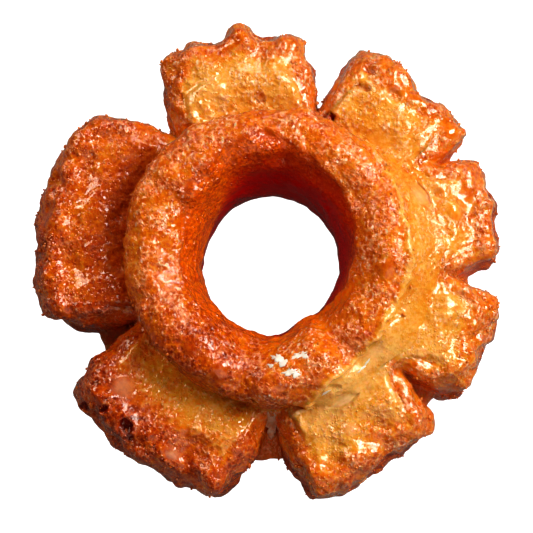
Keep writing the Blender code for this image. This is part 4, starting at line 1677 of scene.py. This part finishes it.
@dataclass(frozen=True)
class FriedCrust:
    """Fried cake under sugar glaze: pale golden crumb to dark crust, wet and grainy.

    A field named x_by_y says how far x goes with the value y.
    """

    name: str = "fried_crust"
    stops: Stops = (
        (0.00, (0.930, 0.540, 0.180)),
        (0.25, (0.790, 0.352, 0.036)),
        (0.50, (0.740, 0.190, 0.003)),
        (0.75, (0.520, 0.080, 0.001)),
        (1.00, (0.190, 0.014, 0.0005)),
    )
    # Bright red-orange: the hole wall's own colour, and a painted glow elsewhere.
    ember: Colour = (0.860, 0.185, 0.0004)
    # Painted shade colour: the dark red that shaded places are mixed towards.
    shade: Colour = (0.460, 0.002, 0.0001)
    # Milky glaze colour, partly a painted sheen.
    milk: Colour = (0.900, 0.620, 0.400)
    frost: Colour = (1.000, 0.600, 0.400)
    # Whitish flecks: partly dried sugar, partly painted glints.
    fleck: Colour = (1.000, 0.820, 0.640)
    tone_by_speckle: Remap = (0.3, 0.7, 0.12, -0.16)
    tone_by_blotch: Remap = (0.3, 0.7, -0.04, 0.04)
    valley_by_height: Remap = (0.15, 0.55, 0.20, -0.13)
    valley_by_browning: Remap = (0.2, 0.6, 0.3, 1.0)
    valley_by_ember: Remap = (0.0, 0.6, 1.0, 0.2)
    ridge_by_speckle: Remap = (0.42, 0.58, 0.15, 1.0)
    ridge_by_blotch: Remap = (0.48, 0.58, 0.0, 0.75)
    fleck_by_blotch: Remap = (0.40, 0.55, 0.25, 1.0)
    sheet_by_blotch: Remap = (0.52, 0.57, 0.0, 0.75)
    sheet_by_frost: Remap = (0.85, 1.0, 0.0, 1.0)
    sheet_by_speckle: Remap = (0.44, 0.54, 0.0, 1.0)
    less_ember_by_speckle: Remap = (0.40, 0.60, 0.0, 0.9)
    milk_share: float = 0.45
    roughness_by_blotch: Remap = (0.3, 0.7, 0.06, 0.11)
    gloss_smoothness: float = 0.02
    ember_roughness: float = 0.10
    coat_ior: float = 1.5
    specular_level: float = 0.65
    depth: Depth = Depth(0.60, (1.0, 0.35, 0.10), 0.0012, 0.06, 1.0, 0.00070)
    bump_by_blotch: Remap = (0.38, 0.60, 0.35, 1.1)

    def browning(self, wires: Wiring, grain: Plugs) -> Plug:
        """The skin's tone with its grain: darker in the dark speckles, and darker in the grain's
        valleys as painted shade.
        """
        speckle = wires.remap(grain["Speckle"], self.tone_by_speckle)
        blotch = wires.remap(grain["Blotch"], self.tone_by_blotch)
        # Painted shade: the grain's valleys are darker, its tops paler.
        valley = wires.remap(grain["Height"], self.valley_by_height)
        valley = wires.times(valley, wires.attribute("grain"))
        browned = wires.remap(wires.attribute("browning"), self.valley_by_browning)
        valley = wires.times(valley, browned)
        valley = wires.times(valley, wires.remap(wires.attribute("ember"), self.valley_by_ember))
        browning = wires.plus(wires.attribute("browning"), wires.plus(speckle, blotch))
        return wires.plus(browning, valley)

    def colour(self, wires: Wiring, grain: Plugs, hollow: Socket) -> Plug:
        """The crust's colour, with its dried white glaze and painted glints, its deep red-orange
        and painted glow, its painted shade and its milky glaze and painted sheen.
        """
        colour = wires.ramp(self.browning(wires, grain), self.stops)
        speckle, blotch = grain["Speckle"], grain["Blotch"]
        tops = wires.times(grain["Ridge"], wires.remap(speckle, self.ridge_by_speckle))
        patches = wires.remap(blotch, self.ridge_by_blotch)
        flecks = wires.times(grain["Fleck"], wires.remap(blotch, self.fleck_by_blotch))
        frost = wires.attribute("frost")
        # White glaze on the ridges, partly painted highlights.
        ridges = wires.times(wires.times(tops, patches), frost)
        colour = wires.mix(ridges, colour, self.frost)
        # Painted sheen: whitish sheets where the white glaze is strongest.
        sheet = wires.remap(blotch, self.sheet_by_blotch)
        sheet = wires.times(sheet, wires.remap(frost, self.sheet_by_frost))
        sheet = wires.times(sheet, wires.remap(speckle, self.sheet_by_speckle))
        colour = wires.mix(sheet, colour, self.fleck)
        ember = wires.attribute("ember")
        less = wires.remap(speckle, self.less_ember_by_speckle)
        colour = wires.mix(wires.math("SUBTRACT", ember, less, clamp=True), colour, self.ember)
        # Painted shade: pits, pebble valleys and the hole's shaded wall go towards the dark red.
        colour = wires.mix(hollow, colour, self.shade)
        # Small whitish flecks, partly dried sugar and partly painted glints.
        colour = wires.mix(wires.times(flecks, frost), colour, self.fleck)
        # Milky glaze, partly a painted sheen.
        milk = wires.times(wires.attribute("milk"), self.milk_share)
        return wires.mix(milk, colour, self.milk)

    def roughness(self, wires: Wiring, blotch: Socket, hollow: Socket) -> Plug:
        """How rough the crust shines: less where it is glossy, more on dry red-orange places
        outside the painted shade.
        """
        gloss = wires.attribute("gloss")
        base = wires.remap(blotch, self.roughness_by_blotch)
        rough = wires.math("SUBTRACT", base, wires.times(gloss, self.gloss_smoothness))
        dry = wires.times(wires.attribute("ember"), wires.math("SUBTRACT", 1.0, hollow))
        return wires.plus(rough, wires.times(dry, self.ember_roughness))

    def material(self) -> bpy.types.Material:
        """The finish as a material that reads the skin's own values."""
        material, wires, shader = principled(self.name)
        grain = CrumbGrain().outputs(wires)
        hollow = wires.attribute("hollow")
        settings = {
            "Base Color": self.colour(wires, grain, hollow),
            "Roughness": self.roughness(wires, grain["Blotch"], hollow),
            "Coat Weight": wires.attribute("wet"),
            "Coat IOR": self.coat_ior,
            "Specular IOR Level": self.specular_level,
        }
        wires.feed_all(shader, settings)
        patches = wires.remap(grain["Blotch"], self.bump_by_blotch)
        share = wires.times(wires.attribute("grain"), patches)
        self.depth.feed(wires, shader, wires.times(grain["Height"], share))
        return material


@dataclass(frozen=True)
class LooseCrumb:
    """Crumbs fried a little darker than the crust that they stick to."""

    name: str = "loose_crumb"
    stops: Stops = (
        (0.0, (0.860, 0.420, 0.080)),
        (0.5, (0.720, 0.200, 0.010)),
        (1.0, (0.460, 0.070, 0.002)),
    )
    tone_by_speckle: Remap = (0.3, 0.7, -0.15, 0.15)
    roughness: float = 0.3
    coat: float = 0.7
    depth: Depth = Depth(0.12, (1.0, 0.35, 0.12), 0.001, 0.12, 0.6, 0.00012)

    def material(self) -> bpy.types.Material:
        """The finish as a material that reads each crumb's own tone."""
        material, wires, shader = principled(self.name)
        grain = CrumbGrain().outputs(wires)
        speckle = wires.remap(grain["Speckle"], self.tone_by_speckle)
        tone = wires.plus(wires.attribute("browning"), speckle)
        settings = {
            "Base Color": wires.ramp(tone, self.stops),
            "Roughness": self.roughness,
            "Coat Weight": self.coat,
        }
        wires.feed_all(shader, settings)
        self.depth.feed(wires, shader, grain["Height"])
        return material


@dataclass(frozen=True)
class SugarFinish:
    """Sugar glaze in a thick drop: dried white, or still milky and wet."""

    name: str
    pale: Colour
    deep: Colour
    roughness: float
    coat: float
    depth: Depth
    cloud: NoiseLook = NoiseLook(900.0, 3.0)
    cloud_edge: Remap = (0.35, 0.65, 0.0, 1.0)
    crystals: NoiseLook = NoiseLook(3000.0, 2.0)

    def material(self) -> bpy.types.Material:
        """The finish as a material with cloudy patches and a fine crystal grain."""
        material, wires, shader = principled(self.name)
        where = wires.place()
        cloud = wires.remap(wires.noise(where, self.cloud), self.cloud_edge)
        settings = {
            "Base Color": wires.mix(cloud, self.deep, self.pale),
            "Roughness": self.roughness,
            "Coat Weight": self.coat,
        }
        wires.feed_all(shader, settings)
        self.depth.feed(wires, shader, wires.noise(where, self.crystals))
        return material


@dataclass(frozen=True)
class PaleFloor:
    """A plain near-white studio floor with a faint mottle, which looks brighter than it lights."""

    name: str = "pale_floor"
    light: Colour = (0.24, 0.24, 0.24)
    dim: Colour = (0.22, 0.22, 0.22)
    mottle: NoiseLook = NoiseLook(3.0, 2.0)
    roughness: float = 0.9
    glow: float = 0.03
    seen_glow: float = 0.85

    def material(self) -> bpy.types.Material:
        """The finish as a material."""
        material, wires, shader = principled(self.name)
        mottle = wires.noise(wires.place(), self.mottle)
        colour = wires.mix(mottle, self.dim, self.light)
        seen = wires.node("ShaderNodeLightPath").outputs["Is Camera Ray"]
        settings = {
            "Base Color": colour,
            "Roughness": self.roughness,
            "Emission Color": (1.0, 1.0, 1.0),
            "Emission Strength": wires.remap(seen, (0.0, 1.0, self.glow, self.seen_glow)),
        }
        wires.feed_all(shader, settings)
        return material


# Pieces


def mesh_object(
    name: str,
    points: Array,
    faces: Array,
    material: bpy.types.Material,
    values: dict[str, Array] | None = None,
) -> bpy.types.Object:
    """A smooth-shaded mesh object at the origin.

    Args:
        name: The object's and the mesh's name.
        points: Its points, one row of three each.
        faces: Its faces, one row of point numbers each.
        material: Its finish.
        values: Values at each point, which become attributes of these names.

    Returns:
        The object, in the scene.
    """
    mesh = bpy.data.meshes.new(name)
    mesh.from_pydata(points.tolist(), [], faces.tolist())
    mesh.shade_smooth()
    for label, numbers in (values or {}).items():
        made = mesh.attributes.new(label, "FLOAT", "POINT")
        made.data.foreach_set("value", numbers.astype(np.float32))
    mesh.materials.append(material)
    mesh.update()
    made = bpy.data.objects.new(name, mesh)
    bpy.context.scene.collection.objects.link(made)
    return made


def place(piece: bpy.types.Object) -> None:
    """Makes a piece ride with the part and stand for its solid, which is hidden."""
    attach(piece, BODY)
    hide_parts(NODE)


@dataclass
class Cake:
    """The whole doughnut of fried cake, as one closed skin."""

    form: DoughnutForm = field(default_factory=DoughnutForm)
    finish: FriedCrust = field(default_factory=FriedCrust)
    name: str = "fried_cake"

    def build(self) -> bpy.types.Object:
        """Makes the skin, its relief and its looks, and keeps the first two for other pieces."""
        self.skin = self.form.skin()
        self.looks = CrustRelief(self.form).apply(self.skin)
        self.skin.points[:, :2] += self.form.hole_middle
        values = {entry.name: getattr(self.looks, entry.name) for entry in fields(self.looks)}
        skin, finish = self.skin, self.finish.material()
        return mesh_object(self.name, skin.points, skin.triangles, finish, values)

    def spot_at(self, bearing: float, reach: float) -> Array:
        """The (x, y) of a place given by its bearing and reach."""
        angle = math.radians(bearing)
        away = reach * np.array([math.cos(angle), math.sin(angle)])
        return np.array(self.form.hole_middle) + away

    def height_at(self, places: Array, reach: float = 0.006, softness: float = 0.0004) -> Array:
        """Height of the doughnut's top under each (x, y) place, all of them close together.

        It is the mean height of the skin's points in reach, each weighed by exp(-d^2 / softness^2).
        """
        middle = places.mean(axis=0)
        points = self.skin.points
        above = points[:, 2] > 0.010
        near = above & (np.hypot(points[:, 0] - middle[0], points[:, 1] - middle[1]) < reach)
        gap = np.sum((places[:, None, :] - points[None, near, :2]) ** 2, axis=2)
        weight = np.exp(-(gap - gap.min(axis=1, keepdims=True)) / softness**2)
        return np.sum(weight * points[None, near, 2], axis=1) / np.sum(weight, axis=1)


@dataclass(frozen=True)
class Drop:
    """A drop of glaze: its place, its half sizes, its turn in degrees, and its thickness."""

    bearing: float
    reach: float
    long: float
    short: float
    turn: float
    thickness: float


@dataclass
class SugarDrops:
    """Thick drops of glaze that dried or set on the crust, each a lens with an uneven edge."""

    name: str
    drops: tuple[Drop, ...]
    finish: SugarFinish
    rings: int = 12
    spokes: int = 48
    unevenness: float = 0.75
    sunk: float = 0.00035
    seed: int = 81

    def lens(self, cake: Cake, drop: Drop) -> tuple[Array, Array]:
        """One drop: over a disc of rings and spokes, thickness times the root of 1 less r^2.

        Args:
            cake: The doughnut that it lies on.
            drop: Its place and sizes.

        Returns:
            Its points and its triangles.
        """
        share = np.linspace(0.0, 1.0, self.rings + 1)[1:, None]
        angle = np.linspace(0.0, 2.0 * np.pi, self.spokes, endpoint=False)[None, :]
        own = np.full(self.spokes, drop.bearing)
        rim = np.stack([np.cos(angle[0]), np.sin(angle[0]), own], axis=1)
        waves = hills(rim, 0.8, self.seed) + 0.8 * hills(rim, 0.35, self.seed + 1)
        uneven = 1.0 + self.unevenness * waves
        along = drop.long * share * np.cos(angle) * uneven
        across = drop.short * share * np.sin(angle) * uneven
        turn = math.radians(drop.turn)
        x = along * math.cos(turn) - across * math.sin(turn)
        y = along * math.sin(turn) + across * math.cos(turn)
        flat = np.concatenate([[[0.0, 0.0]], np.stack([x.ravel(), y.ravel()], axis=1)])
        places = flat + cake.spot_at(drop.bearing, drop.reach)
        ground = cake.height_at(places)
        shares = np.concatenate([[0.0], np.repeat(share[:, 0], self.spokes)])
        bulge = np.sqrt(np.clip(1.0 - shares**2.5, 0.0, 1.0))
        grain = 1.0 + 0.25 * hills(np.column_stack([places, ground]), 0.0008, self.seed)
        top = np.column_stack([places, ground + drop.thickness * bulge * grain])
        low = np.column_stack([places, ground - self.sunk * (1.0 - 0.3 * shares)])
        inner = np.arange(1, 1 + self.rings * self.spokes).reshape(self.rings, self.spokes)
        after = np.roll(inner, -1, axis=1)
        fan = np.stack([np.zeros(self.spokes, int), inner[0], after[0]], axis=1)
        near, far = inner[:-1].ravel(), inner[1:].ravel()
        near_after, far_after = after[:-1].ravel(), after[1:].ravel()
        bands = [(near, far, far_after), (near, far_after, near_after)]
        upper = np.concatenate([fan, *(np.stack(band, axis=1) for band in bands)])
        lower = upper[:, ::-1] + len(top)
        edge, edge_after = inner[-1], after[-1]
        under, under_after = edge + len(top), edge_after + len(top)
        bands = [(edge, under, under_after), (edge, under_after, edge_after)]
        skirt = [np.stack(band, axis=1) for band in bands]
        return np.concatenate([top, low]), np.concatenate([upper, lower, *skirt])

    def build(self, cake: Cake) -> bpy.types.Object:
        """All the drops on the doughnut, as one piece."""
        points: list[Array] = []
        faces: list[Array] = []
        for drop in self.drops:
            lens_points, lens_faces = self.lens(cake, drop)
            faces.append(lens_faces + sum(len(part) for part in points))
            points.append(lens_points)
        finish = self.finish.material()
        return mesh_object(self.name, np.concatenate(points), np.concatenate(faces), finish)


@dataclass
class CrustCrumbs:
    """Small crumbs that stick to the crown, the petals' rims and the clefts."""

    name: str = "crust_crumbs"
    finish: LooseCrumb = field(default_factory=LooseCrumb)
    count: int = 900
    least: float = 0.00012
    most: float = 0.00038
    bands: int = 4
    sides: int = 6
    sunk: float = 0.35
    seed: int = 5

    def pebble(self) -> tuple[Array, Array]:
        """Points and triangles of a unit ball of a few bands and sides, with its two poles."""
        down = np.pi * np.arange(1, self.bands) / self.bands
        round_it = 2.0 * np.pi * np.arange(self.sides) / self.sides
        ring = np.stack(
            [
                np.outer(np.sin(down), np.cos(round_it)),
                np.outer(np.sin(down), np.sin(round_it)),
                np.outer(np.cos(down), np.ones(self.sides)),
            ],
            axis=2,
        ).reshape(-1, 3)
        points = np.concatenate([[[0.0, 0.0, 1.0]], ring, [[0.0, 0.0, -1.0]]])
        index = 1 + np.arange((self.bands - 1) * self.sides).reshape(self.bands - 1, self.sides)
        after = np.roll(index, -1, axis=1)
        top = np.stack([np.zeros(self.sides, int), index[0], after[0]], axis=1)
        low = np.stack([index[-1], np.full(self.sides, len(points) - 1), after[-1]], axis=1)
        a, b, c, d = index[:-1].ravel(), index[1:].ravel(), after[1:].ravel(), after[:-1].ravel()
        return points, np.concatenate([top, np.stack([a, b, c], 1), np.stack([a, c, d], 1), low])

    def build(self, cake: Cake) -> bpy.types.Object:
        """Scatters crumbs over the doughnut's crust, each squashed, turned and sunk a little."""
        skin, looks = cake.skin, cake.looks
        normals = skin.normals()
        crown = (skin.zone == Zone.RING) & (skin.share > 0.60) & (skin.share < 0.93)
        rim = skin.zone == Zone.EDGE
        wall = (skin.zone == Zone.WALL) & (skin.share < 0.9)
        weight = 0.15 * crown + 1.0 * rim + 0.8 * wall
        weight = weight * (1.0 - looks.gloss) * between(hills(skin.points, 0.004, 91), -0.2, 0.5)
        random = np.random.default_rng(self.seed)
        chosen = random.choice(len(weight), self.count, replace=False, p=weight / weight.sum())
        ball, ball_faces = self.pebble()
        size = self.least + (self.most - self.least) * random.random(self.count) ** 2.5
        stretch = 0.65 + 0.7 * random.random((self.count, 1, 3))
        lumps = 1.0 + 0.22 * random.standard_normal((self.count, len(ball), 1)).clip(-1.5, 1.5)
        up = normals[chosen]
        side = np.cross(up, random.standard_normal((self.count, 3)))
        side = side / np.linalg.norm(side, axis=1, keepdims=True)
        axes = np.stack([side, np.cross(up, side), up], axis=1)
        shapes = ball[None] * lumps * stretch * size[:, None, None]
        middles = skin.points[chosen] + up * (size * (1.0 - 2.0 * self.sunk))[:, None]
        points = middles[:, None, :] + np.einsum("nvk,nkc->nvc", shapes, axes)
        faces = ball_faces[None] + (np.arange(self.count) * len(ball))[:, None, None]
        tone = looks.browning[chosen] * 0.8 + 0.25 * random.random(self.count)
        return mesh_object(
            self.name,
            points.reshape(-1, 3),
            faces.reshape(-1, 3),
            self.finish.material(),
            {"browning": np.repeat(tone, len(ball))},
        )


# The studio


@dataclass(frozen=True)
class Panel:
    """A soft light panel: where it stands from the doughnut, its width and its power in watts."""

    name: str
    direction: tuple[float, float, float]
    distance: float
    width: float
    power: float
    colour: Colour


@dataclass(frozen=True)
class Studio:
    """The floor, the lights and the camera, which looks down as the photograph does."""

    picture: float = 533.0
    focal: float = 2340.0
    elevation: float = 82.0
    distance: float = 0.45
    roll: float = 0.5
    target: tuple[float, float, float] = (0.0, 0.0, 0.014)
    target_pixel: tuple[float, float] = (265.5, 259.5)
    sensor: float = 36.0
    floor_reach: float = 0.9
    floor_drop: float = 0.00005
    ambient: float = 0.066
    ambient_colour: Colour = (1.0, 0.90, 0.76)
    panels: tuple[Panel, ...] = (
        Panel("key_panel", (0.73, 0.30, 0.72), 0.60, 0.30, 2.80, (1.0, 0.94, 0.86)),
        Panel("left_panel", (-0.78, 0.52, 0.80), 0.60, 0.22, 0.95, (1.0, 0.90, 0.74)),
        Panel("back_panel", (0.05, 1.00, 0.75), 0.60, 0.20, 0.50, (1.0, 0.94, 0.86)),
        Panel("front_panel", (0.30, -1.00, 0.90), 0.60, 0.50, 0.60, (1.0, 0.88, 0.70)),
    )

    def camera(self) -> bpy.types.Object:
        """Makes the camera: it aims beside the target so that the target lands on its pixel."""
        slope = math.radians(self.elevation)
        forward = Vector((0.0, math.cos(slope), -math.sin(slope)))
        right = Vector((1.0, 0.0, 0.0))
        up = right.cross(forward)
        roll = math.radians(self.roll)
        across = right * math.cos(roll) + up * math.sin(roll)
        upward = up * math.cos(roll) - right * math.sin(roll)
        middle = self.picture / 2.0
        place = Vector(self.target) - forward * self.distance
        aside = (middle - self.target_pixel[0]) * across + (self.target_pixel[1] - middle) * upward
        ahead = (Vector(self.target) + aside * (self.distance / self.focal) - place).normalized()
        across = (across - ahead * across.dot(ahead)).normalized()
        upward = across.cross(ahead)
        data = bpy.data.cameras.new("camera")
        data.sensor_width = self.sensor
        data.lens = self.focal / self.picture * self.sensor
        data.clip_start, data.clip_end = 0.01, 10.0
        made = bpy.data.objects.new("camera", data)
        axes = Matrix((across, upward, -ahead)).transposed().to_4x4()
        made.matrix_world = Matrix.Translation(place) @ axes
        bpy.context.scene.collection.objects.link(made)
        bpy.context.scene.camera = made
        return made

    def floor(self) -> bpy.types.Object:
        """Makes the floor, a flat square of a few faces just clear of the doughnut's foot."""
        line = np.linspace(-self.floor_reach, self.floor_reach, 5)
        x, y = np.meshgrid(line, line)
        points = np.column_stack([x.ravel(), y.ravel(), np.full(x.size, -self.floor_drop)])
        index = np.arange(x.size).reshape(x.shape)
        corners = (index[:-1, :-1], index[:-1, 1:], index[1:, 1:], index[1:, :-1])
        faces = np.stack([corner.ravel() for corner in corners], axis=1)
        made = mesh_object("studio_floor", points, faces, PaleFloor().material())
        return made

    def lights(self) -> None:
        """Makes the light panels, each turned to the doughnut, and the even light all round."""
        for panel in self.panels:
            data = bpy.data.lights.new(panel.name, "AREA")
            data.shape = "SQUARE"
            data.size = panel.width
            data.energy = panel.power
            data.color = panel.colour
            made = bpy.data.objects.new(panel.name, data)
            away = Vector(panel.direction).normalized()
            made.location = Vector(self.target) + away * panel.distance
            made.rotation_euler = away.to_track_quat("Z", "Y").to_euler()
            bpy.context.scene.collection.objects.link(made)
        world = bpy.data.worlds.new("studio")
        world.use_nodes = True
        background = world.node_tree.nodes["Background"]
        sources = {"Color": self.ambient_colour, "Strength": self.ambient}
        Wiring(world.node_tree).feed_all(background, sources)
        bpy.context.scene.world = world
        bpy.context.scene.view_settings.view_transform = "Standard"
        bpy.context.scene.view_settings.look = "High Contrast"

    def build(self) -> None:
        """Makes camera, floor and lights."""
        self.camera()
        self.floor()
        self.lights()


SUGAR_AND_GLINT_FINISH = SugarFinish(
    name="dried_sugar",
    pale=(0.95, 0.93, 0.90),
    deep=(0.86, 0.76, 0.66),
    roughness=0.45,
    coat=0.3,
    depth=Depth(0.2, (1.0, 0.6, 0.4), 0.0015, 0.08, 0.5, 0.00008),
)
SET_GLAZE = SugarFinish(
    name="set_glaze",
    pale=(0.80, 0.50, 0.40),
    deep=(0.70, 0.34, 0.20),
    roughness=0.18,
    coat=0.8,
    depth=Depth(0.3, (1.0, 0.6, 0.4), 0.0015, 0.08, 0.5, 0.00008),
)
SUGAR_AND_GLINT_DROPS = (
    Drop(275.0, 0.0200, 0.0013, 0.0008, -35.0, 0.00022),
    Drop(277.4, 0.0209, 0.0009, 0.0007, 40.0, 0.00020),
    Drop(286.6, 0.0200, 0.0013, 0.0006, 15.0, 0.00020),
    Drop(289.0, 0.0206, 0.0007, 0.0005, -30.0, 0.00016),
    Drop(280.0, 0.0228, 0.0011, 0.0006, 20.0, 0.00022),
    Drop(282.6, 0.0233, 0.0008, 0.0006, -50.0, 0.00018),
    Drop(271.0, 0.0212, 0.0005, 0.0004, 0.0, 0.00014),
    # These three thin strokes are painted highlights: glints on ridges, drawn as white sugar.
    Drop(309.6, 0.0275, 0.0010, 0.00018, 46.0, 0.00016),
    Drop(312.6, 0.0272, 0.0008, 0.00016, 52.0, 0.00014),
    Drop(292.6, 0.0280, 0.0009, 0.00017, 32.0, 0.00014),
)
GLAZE_DROPS = (Drop(271.5, 0.0315, 0.0012, 0.0021, 8.0, 0.0016),)


def main() -> None:
    """Builds the doughnut's pieces and the studio, and logs each piece's number of faces."""
    logging.basicConfig(level=logging.INFO, format="%(message)s")
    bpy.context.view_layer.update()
    cake = Cake()
    pieces = [cake.build()]
    pieces.append(SugarDrops("dried_sugar_drops", SUGAR_AND_GLINT_DROPS, SUGAR_AND_GLINT_FINISH).build(cake))
    pieces.append(SugarDrops("set_glaze_drops", GLAZE_DROPS, SET_GLAZE).build(cake))
    pieces.append(CrustCrumbs().build(cake))
    for piece in pieces:
        place(piece)
        LOG.info("%s: %d faces", piece.name, len(piece.data.polygons))
    Studio().build()


if __name__ == "__main__":
    main()
